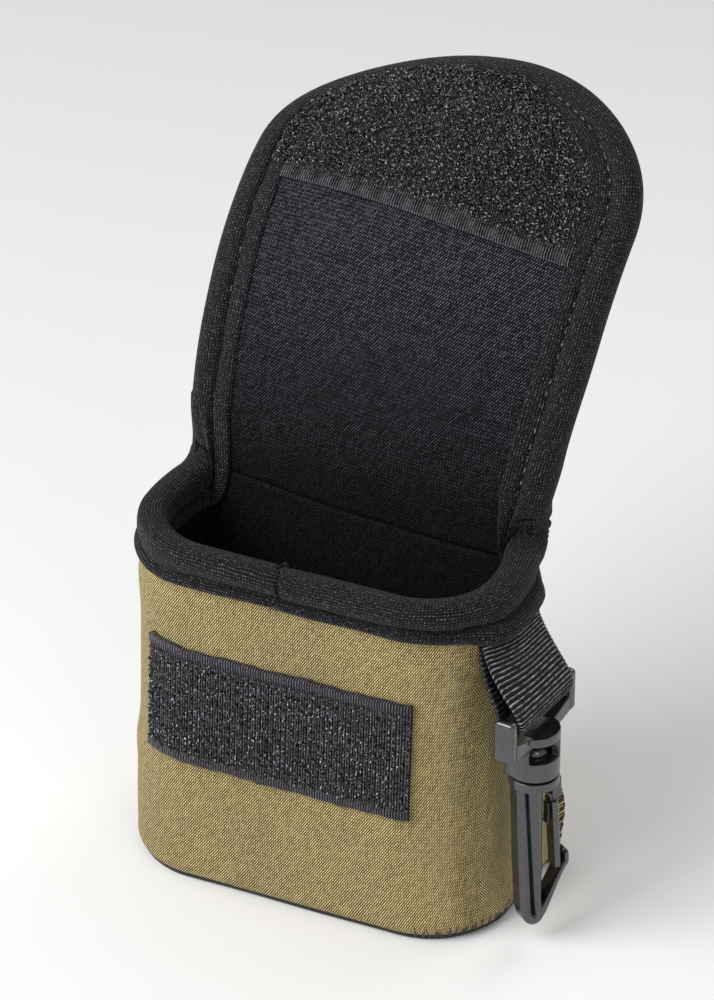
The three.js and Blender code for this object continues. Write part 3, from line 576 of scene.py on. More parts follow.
def wall_relief(a, z):
    """How far the outside of the pocket stands out: pinched under the rim and swollen below it."""
    swell = 0.55 * bump(z, 62, 5) - 0.9 * smooth(z, 66.5, 70.5)
    waves = 0.25 * np.sin(a * 0.09 + 0.6) * np.sin(z * 0.085) + 0.12 * np.sin(a * 0.21 + z * 0.17)
    below_tape = 0.5 * bump(z, 25.0, 4.0)
    rear_edges = 0.9 * ear_swell(z) * (bump(a, 0, 7) + bump(a, WRAP_RUN, 7))
    under_rim = -0.9 * smooth(z, 50, 62) * bump(a, WRAP_RUN - 8, 14)
    return swell + waves + below_tape + rear_edges + under_rim


def base_inset(z):
    return BASE_ROLL_INSET * np.clip(1 - z / BASE_ROLL_HEIGHT, 0, 1) ** 2


# Pocket's cloth
def back_grid(low, edge_gap, depth, corner=0.0):
    """Grid over the back, with rounded ears at its sides where `corner` is more than 0."""
    across = np.sin(np.linspace(-1, 1, 82) * math.pi / 2) * 0.35 + np.linspace(-1, 1, 82) * 0.65
    w, c = np.meshgrid(np.linspace(0, 1, 56) ** 1.3, across, indexing="ij")
    top = ROOT_Z - c * (pocket_half(ROOT_Z) - rear_tuck(ROOT_Z) - edge_gap) * math.tan(TILT)
    z = low + (top - low) * w
    x = c * (pocket_half(z) - rear_tuck(z, c) - edge_gap)
    y = pocket_rear(x, z) - depth(z) + 0.2 * np.sin(x * 0.11) * np.sin(z * 0.07)
    turned = np.clip((np.abs(c) - 0.92) / 0.08, 0, 1)
    y = y - corner * (1 - np.sqrt(1 - turned**2)) * (0.25 + 0.75 * smooth(z, 20, 45))
    swell = corner * ear_swell(z)
    y = y + 0.75 * swell * smooth(np.abs(c), 0.55, 1)
    x = x + 0.4 * swell * smooth(np.abs(c), 0.8, 1) * np.sign(c)
    return np.stack([x, y, z], -1)


def make_pocket():
    stations = even_stations(0, 5, CLOTH_STEP)
    run = arc_lengths(wall_point(stations, MIDDLE, 0.0))
    heights = np.concatenate([np.linspace(FOOT_GAP, 4, 7), np.linspace(4, RIM - CLOTH_EDGE, 64)[1:]])
    z, s = np.meshgrid(heights, stations, indexing="ij")
    outer = wall_point(s, z, base_inset(z) - wall_relief(run, z) * smooth(z, 0, 8))
    wrap = add_slab("wrap_cloth", outer, wall_point(s, z, SKIN), KHAKI, (run, z))
    attach(wrap, "pocket", "wrap_panel")

    heights = np.linspace(SKIN + GAP, RIM - CLOTH_EDGE, 60)
    z, s = np.meshgrid(heights, even_stations(-0.07, 5.07, CLOTH_STEP), indexing="ij")
    axes = np.interp(s[0], stations, run), z
    outer, inner = wall_point(s, z, SKIN + 0.1), wall_point(s, z, WALL)
    lining = add_slab("wrap_lining_cloth", outer, inner, BLACK_LINING, axes)
    attach(lining, "pocket", "wrap_lining")

    outer, inner = back_grid(0, 0, base_inset, 2.3), back_grid(0, 0, lambda z: SKIN)
    back = add_slab("back_cloth", outer, inner, KHAKI, (outer[..., 0], outer[..., 2]))
    attach(back, "pocket", "back_panel")

    outer, inner = (back_grid(SKIN + GAP, WALL - 0.3, lambda z: deep) for deep in (SKIN + 0.1, WALL))
    axes = outer[..., 0], outer[..., 2]
    lining = add_slab("back_lining_cloth", outer, inner, BLACK_LINING, axes)
    attach(lining, "pocket", "back_lining")


def floor_piece(name, low, high, depth, look, node):
    """Floor of the pocket as a fan of rings from its outline to its middle."""
    front = wall_point(even_stations(0, 5, 1.5), high, depth)
    half = pocket_half(high) - depth
    xs = np.linspace(half, -half, 50)[1:-1]
    reach = np.minimum(pocket_rear(xs, low), pocket_rear(xs, high)) - depth
    outline = np.concatenate([front, np.stack([xs, reach, np.full_like(xs, high)], -1)])
    rings = [outline * [s, s, 1] for s in (1, 0.97, 0.8, 0.55, 0.3, 0.05)]
    count, top = len(outline), np.concatenate(rings)
    size = len(top)
    points = np.concatenate([top, top * [1, 1, 0] + [0, 0, low]])
    faces = grid_faces(len(rings), count, closed=True)
    faces += grid_faces(len(rings), count, size, closed=True)
    faces += [tuple(range(side + 5 * count, side + 6 * count)) for side in (0, size)]
    faces += [(i, (i + 1) % count, (i + 1) % count + size, i + size) for i in range(count)]
    piece = add_piece(name, points, faces, look, points[:, :2])
    attach(piece, "pocket", node)
    return piece


def make_floor():
    base = floor_piece("base_cloth", 0.0, SKIN, SKIN + 0.1, KHAKI, "base_panel")
    lining = floor_piece("base_lining_cloth", SKIN + 0.1, WALL, WALL + 0.1, BLACK_LINING, "base_lining")


PANELS = {
    "root": ["flap_root_panel", "flap_lower_panel"],
    "fold": ["flap_fold_panel"],
    "tip": ["flap_upper_panel", "flap_tip_panel"],
}


def bend_with(piece, stretch, *nodes):
    """Fixes a piece's placement into its mesh, in place of the solids that it shows; the stretch of the
    flap is not used.
    """
    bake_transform(piece)
    if nodes:
        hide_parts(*nodes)


STRETCHES = {"root": (0.0, ROOT_CUT), "fold": (ROOT_CUT, UPPER_CUT), "tip": (UPPER_CUT, ARCH_START)}


def flap_grid(stretch, inset):
    """Coordinates (u, v) of a stretch of the flap, with its arch if it is the tip."""
    corner, count = 0.1, 66
    angles = np.linspace(corner, math.pi - corner, count)
    c = -np.cos(angles) / math.cos(corner)
    low, high = STRETCHES[stretch]
    v = np.linspace(low, high, max(3, int((high - low) / FLAP_STEP) + 1))
    if stretch != "root":
        v = np.concatenate([[low - 0.5, low - 0.02], v])
    rows_v = np.repeat(v[:, None], len(c), 1)
    pull = root_pull(1, v) * 0.5
    rows_u = c[None, :] * (flap_edge(v) - pull - inset)[:, None] - pull[:, None]
    if stretch == "tip":
        end_u, end_v = arch_outline(angles, inset)
        t = np.linspace(0, 1, 26)[1:, None]
        base_u = c * (FLAP_HALF - inset)
        rows_u = np.concatenate([rows_u, base_u + (end_u - base_u) * t])
        rows_v = np.concatenate([rows_v, ARCH_START + (end_v - ARCH_START) * t])
    return rows_u, rows_v


def make_flap_cloth():
    for stretch, (start, _) in STRETCHES.items():
        u, v = flap_grid(stretch, CLOTH_EDGE)
        ripple = flap_ripple(u, v)
        sunk = 0.04 * (v < start)
        outer = flap_point(u, v, WALL + ripple - sunk - under_binding(u, v))
        inner = flap_point(u, v, LINING + 0.25)
        skin = add_slab(f"flap_{stretch}_cloth", outer, inner, KHAKI, (u, v + RIM))
        bend_with(skin, stretch, *PANELS[stretch])
        outer, inner = flap_point(u, v, LINING + 0.2), flap_point(u, v, 0.6 * ripple + sunk)
        lining = add_slab(f"flap_{stretch}_lining_cloth", outer, inner, BLACK_LINING, (u, v + RIM))
        bend_with(lining, stretch, *[name.replace("panel", "lining") for name in PANELS[stretch]])


# Binding
def rounded(points, count):
    """Smooth curve through control points, sampled evenly from point to point."""
    p = np.asarray(points, float)
    p = np.concatenate([[2 * p[0] - p[1]], p, [2 * p[-1] - p[-2]]])
    t = np.linspace(0, len(p) - 3 - 1e-9, count)
    i, f = t.astype(int), (t % 1)[:, None]
    a, b, c, d = p[i], p[i + 1], p[i + 2], p[i + 3]
    return 0.5 * (2 * b + (c - a) * f + (2 * a - 5 * b + 4 * c - d) * f**2 + (3 * b - a - 3 * c + d) * f**3)


def bezier(p, count):
    """Curve from the first of four points to the last, drawn towards the two between them."""
    t = np.linspace(0, 1, count)[:, None]
    p = np.asarray(p, float)
    return (1 - t) ** 3 * p[0] + 3 * t * (1 - t) ** 2 * p[1] + 3 * t * t * (1 - t) * p[2] + t**3 * p[3]


def binding_section(
    inner=INNER_LEG, outer=OUTER_LEG, roll=ROLL, groove=OUTER_ROLL, fat=1.0, lift=0.0, flat=0.0
):
    """Section from the inner edge, round the nose, to the outer edge and back inside the cloth."""
    middle = (outer + groove) / 2 + 0.2
    curve = [
        (inner, -2.05), (inner - 0.1, -2.5), (inner - 0.6, -2.8), ((inner + roll) / 2 + 0.3, -2.85),
        (roll + 0.75, -2.65), (roll + 0.2, -2.05), (roll - 0.35, -2.6), (roll - 1.1, -3.1 * fat),
        (roll * 0.5, -3.35 * fat), (1.25, -3.0 * fat), (0.3, -2.0 * fat), (-0.12, -0.9), (-0.2, 0),
        (-0.12, 0.9), (0.3, 2.0 * fat), (1.2, 2.9 * fat), (groove * 0.55, 3.3 * fat), (groove - 0.7, 2.95),
        (groove - 0.05, 1.35), (groove + 0.4, 2.35), (middle, 3.25),
        (outer - 0.6, 2.95), (outer - 0.08, 2.55), (outer, 2.05),
    ]
    shown = rounded(curve, SHOWN_POINTS)
    place, height = shown.T
    outside = height > 1.5
    height += lift * smooth(place, groove - 1.2, groove + 0.6) * outside
    height -= flat * (height - 2.1).clip(0) * outside * smooth(groove + 0.2 - place, 0, 0.8)
    return np.concatenate([shown, [(1.3, 2.03), (1.3, -2.03)]])


def sunk_start(heights, sections):
    """Adds a slightly smaller ring before the first, so that it ends inside the piece before."""
    first = np.array(sections[0]) * [1, 0.985] + [0.03, 0]
    return np.concatenate([heights[0] - [0.5, 0.02], heights]), [first, first] + list(sections)


def side_rings(side, heights, sections):
    return [
        flap_point(side * (flap_edge(v) - root_pull(side, v) - section[:, 0]), v, WALL / 2 + section[:, 1])
        for v, section in zip(heights, sections)
    ]


def turned_to(across, out):
    """Rotation to a frame with the given first two axes."""
    return Matrix(np.array([across, out, np.cross(across, out)]).T.tolist()).to_quaternion()


def lining_depth(points):
    """Where the lining of the back and of the flap's root lies behind given points."""
    x, z = points[:, 0], points[:, 2] - ROOT_Z
    u = x * math.cos(TILT) - z * math.sin(TILT)
    v = x * math.sin(TILT) + z * math.cos(TILT)
    flap = flap_point(u, np.clip(v, 0, None), 0.0)[:, 1]
    return np.where(v > 0, flap, pocket_rear(x, points[:, 2]) - WALL)


def corner_creases(side, t):
    """Folds across the binding where it turns up, in tenths of its thickness."""
    low = 0.0 if side > 0 else 0.27
    creases = [(1.3, 0.84 - low, 0.05), (-3.4, 0.75 - low, 0.025), (1.0, 0.68 - low, 0.04)]
    if side > 0:
        creases += [(-1.6, 0.6, 0.02), (-1.2, 0.53, 0.02), (-0.8, 0.46, 0.02)]
    return sum(height * bump(t, place, width) for height, place, width in creases)


def corner_rings(side):
    """Rings of the binding from the rim's side up to the edge of the flap."""
    start = wall_point(station_at_y(BINDING_CORNER_Y, RIM, side), RIM, WALL / 2)
    top = ROOT_FOLD_END
    edge = flap_edge(top) - root_pull(side, top)
    end = flap_point(side * edge, top, WALL / 2)
    rise = unit(flap_point(side * edge, top + 1, WALL / 2) - end)
    inward = unit(flap_point(side * (edge - 6), top, WALL / 2) - end)
    outward = unit(np.cross(inward, rise)) * side
    inward = np.cross(rise, outward) * side
    reach = (end[1] - start[1]) * 0.85
    fall = (end[2] - start[2]) * (0.8 if side > 0 else 0.78)
    path = bezier([start, start + [0, reach, 0], end - rise * fall, end], CORNER_RINGS + 2)
    first, last = turned_to([0, 0, -1], [side, 0, 0]), turned_to(inward, outward)
    rings = []
    for t, origin in zip(np.linspace(0, 1, CORNER_RINGS + 2)[1:-1], path[1:-1]):
        bunch = math.sin(math.pi * t)
        section = binding_section(
            INNER_LEG - (1.6 if side > 0 else -0.8) * bunch,
            rim_leg(side * CORNER_ARC) * (1 - t) + OUTER_LEG * t - 0.4 * bunch,
            ROLL + 0.3 * bunch,
            OUTER_ROLL,
            RIM_FAT * (1 - t) + t + 0.1 * corner_creases(side, t) + 0.06 * bunch,
            strap_lift(side * CORNER_ARC + 9.0 * t),
            0.65 * (1 - t) * (side < 0),
        )
        turn = np.array(first.slerp(last, float(t)).to_matrix())
        ring = section @ turn.T[:2] + origin
        over = lining_depth(ring) + section[:, 1] + 1.85
        leg = smooth(section[:, 0], 2.5, 5.0) * (section[:, 1] < -1.9)
        ring[:, 1] += (np.minimum(ring[:, 1], over) - ring[:, 1]) * leg
        rings.append(ring)
    return rings


def rim_arc(stations):
    """Length along the rim from the middle of its front, towards the right."""
    fine = np.linspace(0, 5, 800)
    lengths = arc_lengths(wall_point(fine, RIM, 0.0))
    return np.interp(stations, fine, lengths) - np.interp(2.5, fine, lengths)


def rim_leg(arc):
    """Depth of the rim's lip: it hangs lower at the left corner and towards the strap."""
    return OUTER_LEG + 0.9 * bump(arc, RIM_DIP, 9) + 1.6 * smooth(arc, 24, 44) + 0.15 * np.sin(arc * 0.31)


def strap_lift(arc):
    """How far the lip stands off the wall over the strap's ends."""
    return 2.3 * smooth(arc, STRAP_ARC - 13, STRAP_ARC - 8) * smooth(-arc, -STRAP_ARC - 17, -STRAP_ARC - 8)


def rim_sections(arcs, side):
    wave = np.sin(arcs * 0.17) * 0.6 + np.sin(arcs * 0.41 + 1) * 0.4
    tuck = -0.1 if side > 0 else 0.06
    fat = RIM_FAT * (1 + 0.025 * wave) * (1 + tuck * bump(arcs, RIM_JOIN_X, 5.0))
    groove = OUTER_ROLL + 0.25 * wave + 0.35 * bump(arcs, RIM_DIP, 10)
    flat = 0.65 * smooth(-arcs, 10, 26)
    rows = zip(rim_leg(arcs), ROLL + 0.2 * wave, groove, fat, strap_lift(arcs), flat)
    return [binding_section(INNER_LEG, *row) for row in rows]


def wavy_sections(places, seed):
    """Sections whose roll swells and narrows a little along the binding."""
    phase = seed * 1.7
    wave = np.sin(places * 0.13 + phase) * 0.6 + np.sin(places * 0.31 + 2 * phase) * 0.4
    return [binding_section(roll=ROLL + 0.3 * w, fat=1 + 0.035 * w) for w in wave]


def butt_end(rings):
    """Curves the end of the rim's binding where its two ends meet, and rounds it off."""
    around = np.linspace(0, 1, len(rings[0]))
    curve = 0.95 * np.sin(around * 2 * math.pi * 1.6 + 0.8) + 0.25 * np.sin(around * 2 * math.pi * 4.3)
    for i in range(9):
        rings[i][:, 0] += curve * (1 - i / 9)
    middle = rings[0].mean(0)
    for ring, shrink in zip(rings, (0.10, 0.03)):
        ring += (middle - ring) * [0, shrink, shrink]
    return rings


def make_binding():
    for side, word in ((-1, "left"), (1, "right")):
        corner_station = station_at_y(BINDING_CORNER_Y, RIM, side)
        join_station = station_at_x(RIM_JOIN_X + (0.15 if side > 0 else 0.1), RIM)
        stations = even_stations(join_station, corner_station, 0.7, RIM)
        sections = rim_sections(rim_arc(stations), side)
        rings = butt_end([
            wall_point(s, RIM - section[:, 0], WALL / 2 - section[:, 1])
            for s, section in zip(stations, sections)
        ])
        heights = np.linspace(ROOT_FOLD_END, ROOT_CUT, 14)
        rings += corner_rings(side) + side_rings(side, heights, wavy_sections(heights, side + 3))
        piece = add_sweep(f"binding_rim_{word}", rings, BINDING)
        nodes = [f"{name}_binding_{word}" for name in ("rim", "corner", "flap_lower")]
        bend_with(piece, "root", *nodes)
        heights = np.linspace(ROOT_CUT, UPPER_CUT, 34)
        heights, sections = sunk_start(heights, wavy_sections(heights, side + 3))
        rings = side_rings(side, heights, sections)
        piece = add_sweep(f"binding_fold_{word}", rings, BINDING, along=heights)
        bend_with(piece, "fold", f"flap_fold_binding_{word}")
    heights = np.linspace(UPPER_CUT, ARCH_START, 10)
    left = side_rings(-1, *sunk_start(heights, wavy_sections(heights, 2)))
    right = side_rings(1, *sunk_start(heights, wavy_sections(heights, 4)))
    arch = []
    for angle in np.linspace(0, math.pi, 122)[1:-1]:
        section = binding_section()
        u, v = arch_outline(angle, section[:, 0])
        arch.append(flap_point(u, v, WALL / 2 + section[:, 1]))
    piece = add_sweep("binding_tip", left + arch + right[::-1], BINDING)
    bend_with(piece, "tip", "flap_tip_binding", "flap_upper_binding_left", "flap_upper_binding_right")


def make_join_fuzz():
    """Frayed threads where the two ends of the rim's binding meet."""
    section = binding_section(fat=RIM_FAT)[12:58]
    count = 60
    pick = section[rng.integers(0, len(section), count)] * [1, 1.04] + rng.normal(0, 0.05, (count, 2))
    x = RIM_JOIN_X + 0.45 * np.sin(rng.random(count) * 6.3) + rng.normal(0, 0.2, count)
    y = pocket_front(RIM) + WALL / 2 - pick[:, 1]
    starts = np.stack([x, y, RIM - pick[:, 0]], -1)
    ends = starts + rng.normal(0, 0.55, (count, 3)) - [0, 0.1, 0]
    piece = add_stitches("join_fuzz", starts, ends, 0.055, FUZZ, rng.normal(0, 0.2, (count, 3)))
    attach(piece, "pocket")


def groove_stitches(name, u, v, stretch, keep):
    """Threads of the seam that shows in the binding's groove."""
    depth = WALL / 2 - 2.45
    places = flap_point(u, v, depth)
    normals = flap_point(u, v, depth - 1) - places
    runs = arc_lengths(places)
    count = int(runs[-1] / SEAM_STEP)
    begin = (np.arange(count) + 0.2) * SEAM_STEP
    begin = begin[rng.random(count) < keep]

    def at(values, rows):
        return np.stack([np.interp(values, runs, rows[:, k]) for k in range(3)], -1)

    starts, ends = at(begin, places), at(begin + SEAM_LENGTH, places)
    piece = add_stitches(name, starts, ends, 0.16, LIGHT_THREAD, at(begin, normals) * 0.12)
    bend_with(piece, stretch)


def make_groove_stitches():
    x = ROLL + 0.2
    for side, word, keep in ((-1, "left", 0.35), (1, "right", 0.8)):
        for stretch, low, high in (("root", ROOT_FOLD_END, ROOT_CUT), ("fold", ROOT_CUT, UPPER_CUT)):
            v = np.linspace(low, high, 60)
            u = side * (flap_edge(v) - root_pull(side, v) - x)
            groove_stitches(f"seam_{stretch}_{word}", u, v, stretch, keep)
    v = np.linspace(UPPER_CUT, ARCH_START, 12)
    edge = flap_edge(v) - x
    arch_u, arch_v = arch_outline(np.linspace(0, math.pi, 150)[1:-1], x)
    u = np.concatenate([-edge, arch_u, edge[::-1]])
    groove_stitches("seam_tip", u, np.concatenate([v, arch_v, v[::-1]]), "tip", 0.75)


# Loop patch: a woven ground with a pile of curled loops, and a selvedge along its lower edge
def make_loop_patch():
    inset = INNER_LEG - 0.3
    u, v = flap_grid("tip", inset)
    outer, inner = flap_point(u, v, -0.05), flap_point(u, v, -0.75)
    ground = add_slab("loop_ground", outer, inner, TAPE, (u, v))
    bend_with(ground, "tip", "loop_patch_lower", "loop_patch_upper")

    low = LOOP_START + 2.6
    pick = rng.random((PILE_TRIES, 2))
    half = FLAP_HALF - inset
    over = PILE_REACH * smooth(-pick[:, 0], -0.86, -0.6)
    pu = (pick[:, 0] * 2 - 1) * half * (half + over) / half
    pv = low + pick[:, 1] * (FLAP_LENGTH - inset + over - low)
    rise = np.clip(pv - ARCH_START, 0, None) / (ARCH_LENGTH - inset + over)
    arch = np.clip(1 - np.clip(rise, 0, 1) ** ARCH_FULLNESS, 0, 1) ** (1 / ARCH_FULLNESS)
    edge = np.where(pv < ARCH_START, flap_edge(pv) - inset + over - 0.3, (half + over - 0.3) * arch)
    inside = (np.abs(pu) < edge) & (rise < 0.99)
    pu, pv, over = (values[inside][:PILE_LOOPS, None] for values in (pu, pv, over))
    count = len(pu)
    turn = rng.random((count, 1)) * 2 * math.pi
    size = 0.55 + 0.55 * rng.random((count, 1))
    height = 0.5 + 0.75 * rng.random((count, 1))
    t = np.linspace(0, 1, 6)
    angle = turn + (rng.random((count, 1)) - 0.5) * 2.2 * t * 2.4
    reach = size * (t - 0.5) * 1.6
    lift = 0.7 + 0.06 * over + height * np.sin(math.pi * (0.08 + 0.84 * t))
    paths = flap_point(pu + reach * np.cos(angle), pv + reach * np.sin(angle), -lift)
    bend_with(add_tubes("loop_pile", paths, 0.095, PILE, 3), "tip")


def make_loop_selvedge():
    """Ribbed lower edge of the loop patch, with the stitches that hold it."""
    half = flap_edge(LOOP_START) - INNER_LEG + 0.4
    rows = LOOP_START + np.array([-0.15, 0, 0.9, 1.8, 2.3])
    v, u = np.meshgrid(rows, np.linspace(-half, half, 700), indexing="ij")
    ribs = 0.14 * np.sin(u * 2 * math.pi / 0.62) * np.array([0.3, 1, 1, 1, 0.3])[:, None]
    front = flap_point(u, v, -1.0 + np.array([0.5, 0, 0, 0, 0.3])[:, None] + ribs)
    bend_with(add_slab("loop_selvedge", front, flap_point(u, v, -0.3), TAPE, (u, v)), "tip")
    starts = np.arange(-half + 1, half - 2, 2.2)
    ends = (flap_point(place, LOOP_START + 2.6, -1.1) for place in (starts, starts + 1.7))
    bend_with(add_stitches("loop_seam", *ends, 0.14, DARK_THREAD), "tip")


# Hook tape on the front
def tape_line(z):
    fine = np.linspace(station_at_x(TAPE_LEFT, z), station_at_x(TAPE_RIGHT, z), 300)
    return fine, arc_lengths(wall_point(fine, z, 0.0))


TAPE_STATIONS, TAPE_RUN = tape_line(TAPE_LOW + TAPE_WIDTH / 2)
TAPE_LENGTH = TAPE_RUN[-1]


def tape_point(arc, z, depth):
    """Point of the wall at a length of tape from its left end."""
    return wall_point(np.interp(arc, TAPE_RUN, TAPE_STATIONS), z, depth)


def make_tape_ground():
    arc = np.linspace(0, TAPE_LENGTH, 640)
    rows = np.array([0, 0.15, 0.7, 1.4, 1.9, 2.1, 2.4, 12.5, 22.6, 22.9, 23.1, 23.6, 24.3, 24.85, 25.0])
    thick = np.array([0.6, 1.0, 1.1, 1.1, 1.0, 0.75, 0.85, 0.85, 0.85, 0.75, 1.0, 1.1, 1.1, 1.0, 0.6])
    rib = np.array([0.2, 1, 1, 1, 0.6, 0, 0, 0, 0, 0, 0.6, 1, 1, 1, 0.2]) * 0.1
    ribs = np.sin(arc * 2 * math.pi / TAPE_RIB) * rib[:, None]
    z = TAPE_LOW + rows[:, None] + 0.12 * np.sin(arc * 0.4) + 0.08 * np.sin(arc * 1.1 + 1)
    outer = tape_point(arc, z, -(thick[:, None] + 0.15 + ribs))
    tape = add_slab("hook_tape_ground", outer, tape_point(arc, z, 0.1), TAPE, (arc, z))
    attach(tape, "pocket", "hook_tape")


def make_tape_hooks():
    columns = np.arange(0.7, TAPE_LENGTH - 0.5, HOOK_COLUMN)
    a, h = np.meshgrid(columns, np.arange(TAPE_LOW + 2.5, TAPE_TOP - 2.1, HOOK_ROW))
    h = h + (np.arange(len(columns)) % 2)[None, :] * 0.45
    a, h = ((grid + rng.normal(0, 0.1, grid.shape)).reshape(-1, 1) for grid in (a, h))
    lean = rng.choice([-1.0, 1.0], a.shape) * (0.35 + 0.25 * rng.random(a.shape))
    t = np.linspace(0, 1, 7)
    angle = t * math.pi * 1.15
    along = a + rng.normal(0, 0.12, a.shape) * t
    up = h + lean * (1 - np.cos(angle)) * 0.62
    out = 0.85 + 0.7125 * np.sin(angle) + 0.25 * t
    attach(add_tubes("hook_tape_hooks", tape_point(along, up, -out), 0.13, HOOKS, 4), "pocket")


def make_tape_stitches():
    starts = np.arange(0.6, TAPE_LENGTH - 2, 2.1)
    for word, z in (("low", TAPE_LOW + 2.3), ("high", TAPE_TOP - 2.5)):
        ends = (tape_point(arc, z, -1.5) for arc in (starts, starts + 1.6))
        attach(add_stitches(f"tape_seam_{word}", *ends, 0.19, DARK_THREAD), "pocket")
    heights = np.arange(TAPE_LOW + 1, TAPE_TOP - 1, 1.05)
    left, after = np.interp([0.0, 1.0], TAPE_RUN, TAPE_STATIONS)
    step = after - left
    starts = wall_point(left - 0.1 * step, heights, -0.35)
    ends = wall_point(left - 1.5 * step, heights + 0.35 * rng.normal(0.6, 0.4, len(heights)), -0.2)
    attach(add_stitches("tape_end_stitches", starts, ends, 0.12, DARK_THREAD), "pocket")


def make_seams():
    """Slanting stitches down the two rear corners and round the foot of the right front corner."""
    for side, word, top in ((-1, "left", 66.0), (1, "right", 50.0)):
        z = np.arange(3.0, top, 2.1)
        z = z + rng.normal(0, 0.12, len(z))
        half = pocket_half(z) - rear_tuck(z, side)
        y = pocket_rear(half, z) - SKIN + 1.7 * ear_swell(z) + 0.5
        x = side * (half + 0.9 * ear_swell(z) + 0.1)
        starts, ends = np.stack([x, y - 0.9, z - 0.15], -1), np.stack([x, y + 1.4, z + 0.25], -1)
        piece = add_stitches(f"rear_seam_{word}", starts, ends, 0.24, DARK_THREAD, (side * 0.2, 0, 0))
        attach(piece, "pocket")
    # Painted shade: a black tube set in the gap under the wrap's foot, round the sides and front, darkens
    # the line along the base.
    stations = even_stations(0.03, 4.97, 1.0)
    path = wall_point(stations, 0.75 + 0.1 * np.sin(stations * 9), 1.75)
    attach(add_tubes("foot_painted_shade", [path], [0.7], FOOT_SHADE, 8), "pocket")
    s = np.linspace(3.15, 4.35, 34)
    s = s + rng.normal(0, 0.012, len(s))
    low = wall_point(s, 0.35 + 0.3 * rng.random(len(s)), 1.3)
    high = wall_point(s + rng.normal(0.0, 0.025, len(s)), 2.2 + 1.6 * rng.random(len(s)), -0.1)
    attach(add_stitches("foot_stitches", low, high, 0.2, DARK_THREAD, (low - high) * 0.06), "pocket")


# Hanging pieces, in the hanger's own directions about the hook's axis
def hang(points, yaw):
    points = np.asarray(points, float)
    c, s = math.cos(yaw), math.sin(yaw)
    x, y = points[..., 0], points[..., 1]
    return np.stack([HOOK_AXIS[0] + c * x - s * y, HOOK_AXIS[1] + s * x + c * y, points[..., 2]], -1)


def along_wall(y, away, z):
    """Point a length along the pocket's right corner, standing off its wall: the strap's seat."""
    radius = CORNER + away
    angle = np.clip(-y / CORNER, 0, 2)
    x = WAIST_HALF - CORNER + radius * np.cos(angle)
    return np.stack([x, CORNER - FRONT_REACH - radius * np.sin(angle) + np.clip(y, 0, None), z], -1)


def make_webbing():
    outer = rounded(
        [(-5.1, 68.6), (-4.6, 67.0), (-2.6, 64.2), (0.3, 60.7), (2.3, 57.6), (2.9, 55.0), (2.05, 52.95),
         (0, 52.1), (-2.05, 52.95), (-2.9, 55.0), (-3.8, 57.7), (-5.6, 61.5), (-7.1, 65.5), (-7.4, 68.6)],
        600,
    )
    run = arc_lengths(outer)
    tangent = np.gradient(outer, axis=0)
    inward = unit(np.stack([tangent[:, 1], -tangent[:, 0]], -1))
    across = np.concatenate([[-10, -9.9, -9.5], np.linspace(-9, 9, 17), [9.5, 9.9, 10]])
    plump = np.array([0.5, 0.2, 0.05] + [0.0] * 17 + [0.05, 0.2, 0.5])
    valley = RIB_DEPTH * (1 - np.abs(np.sin(run * math.pi / RIB_PITCH)) ** 0.8)

    def place(depth):
        """The band's points at a depth under its outer face, laid against the wall at its top."""
        x, z = np.moveaxis(outer[:, None, :] + inward[:, None, :] * depth[..., None], -1, 0)
        x, y, z = np.broadcast_arrays(x, across, z)
        seat = along_wall(0.93 * y - 1.3, (x + 7.5) * 0.6, z - 0.1 * y)
        w = smooth(z, 55.5, 66.5)[..., None]
        return hang(np.stack([x, y, z], -1), HANGER_YAW) * (1 - w) + seat * w

    top, low = place(plump + valley[:, None]), place(1.15 - 0.4 * plump + 0 * valley[:, None])
    piece = add_slab("webbing", top, low, WEBBING, (run[:, None], across))
    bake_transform(piece)
    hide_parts("strap_loop")


def round_outline(radius, count=48, centre=(0, 0)):
    a = np.linspace(0, 2 * math.pi, count, endpoint=False)
    return np.stack([centre[0] + radius * np.cos(a), centre[1] + radius * np.sin(a)], -1)


def loft(sections):
    """Closed solid through rings of points of one count."""
    rings = np.asarray(sections, float)
    return rings.reshape(-1, 3), loft_faces(*rings.shape[:2])


def prism(outline, low, high, axis="z"):
    """Closed prism of a plan outline between two heights along an axis."""
    order = {"z": [0, 1, 2], "x": [2, 0, 1], "y": [0, 2, 1]}[axis]
    rings = [np.insert(np.asarray(outline, float), 2, level, 1) for level in (low, high)]
    return loft(np.array(rings)[..., order])


def add_moulding(name, shells, yaw, voxel, soften, look=PLASTIC):
    """Joins closed shells into one moulded piece with softened edges."""
    points, faces, start = [], [], 0
    for shell_points, shell_faces in shells:
        points.append(hang(shell_points, yaw))
        faces += [tuple(i + start for i in face) for face in shell_faces]
        start += len(shell_points)
    piece = add_piece(name, np.concatenate(points), faces, look)
    remesh = piece.modifiers.new("join", "REMESH")
    remesh.mode = "VOXEL"
    remesh.voxel_size = voxel * MM
    relax = piece.modifiers.new("soften", "SMOOTH")
    relax.factor = 0.5
    relax.iterations = soften
    evaluated = piece.evaluated_get(bpy.context.evaluated_depsgraph_get())
    mesh = bpy.data.meshes.new_from_object(evaluated)
    piece.modifiers.clear()
    piece.data = mesh
    mesh.polygons.foreach_set("use_smooth", [True] * len(mesh.polygons))
    if not mesh.materials:
        mesh.materials.append(look[0])
    return piece


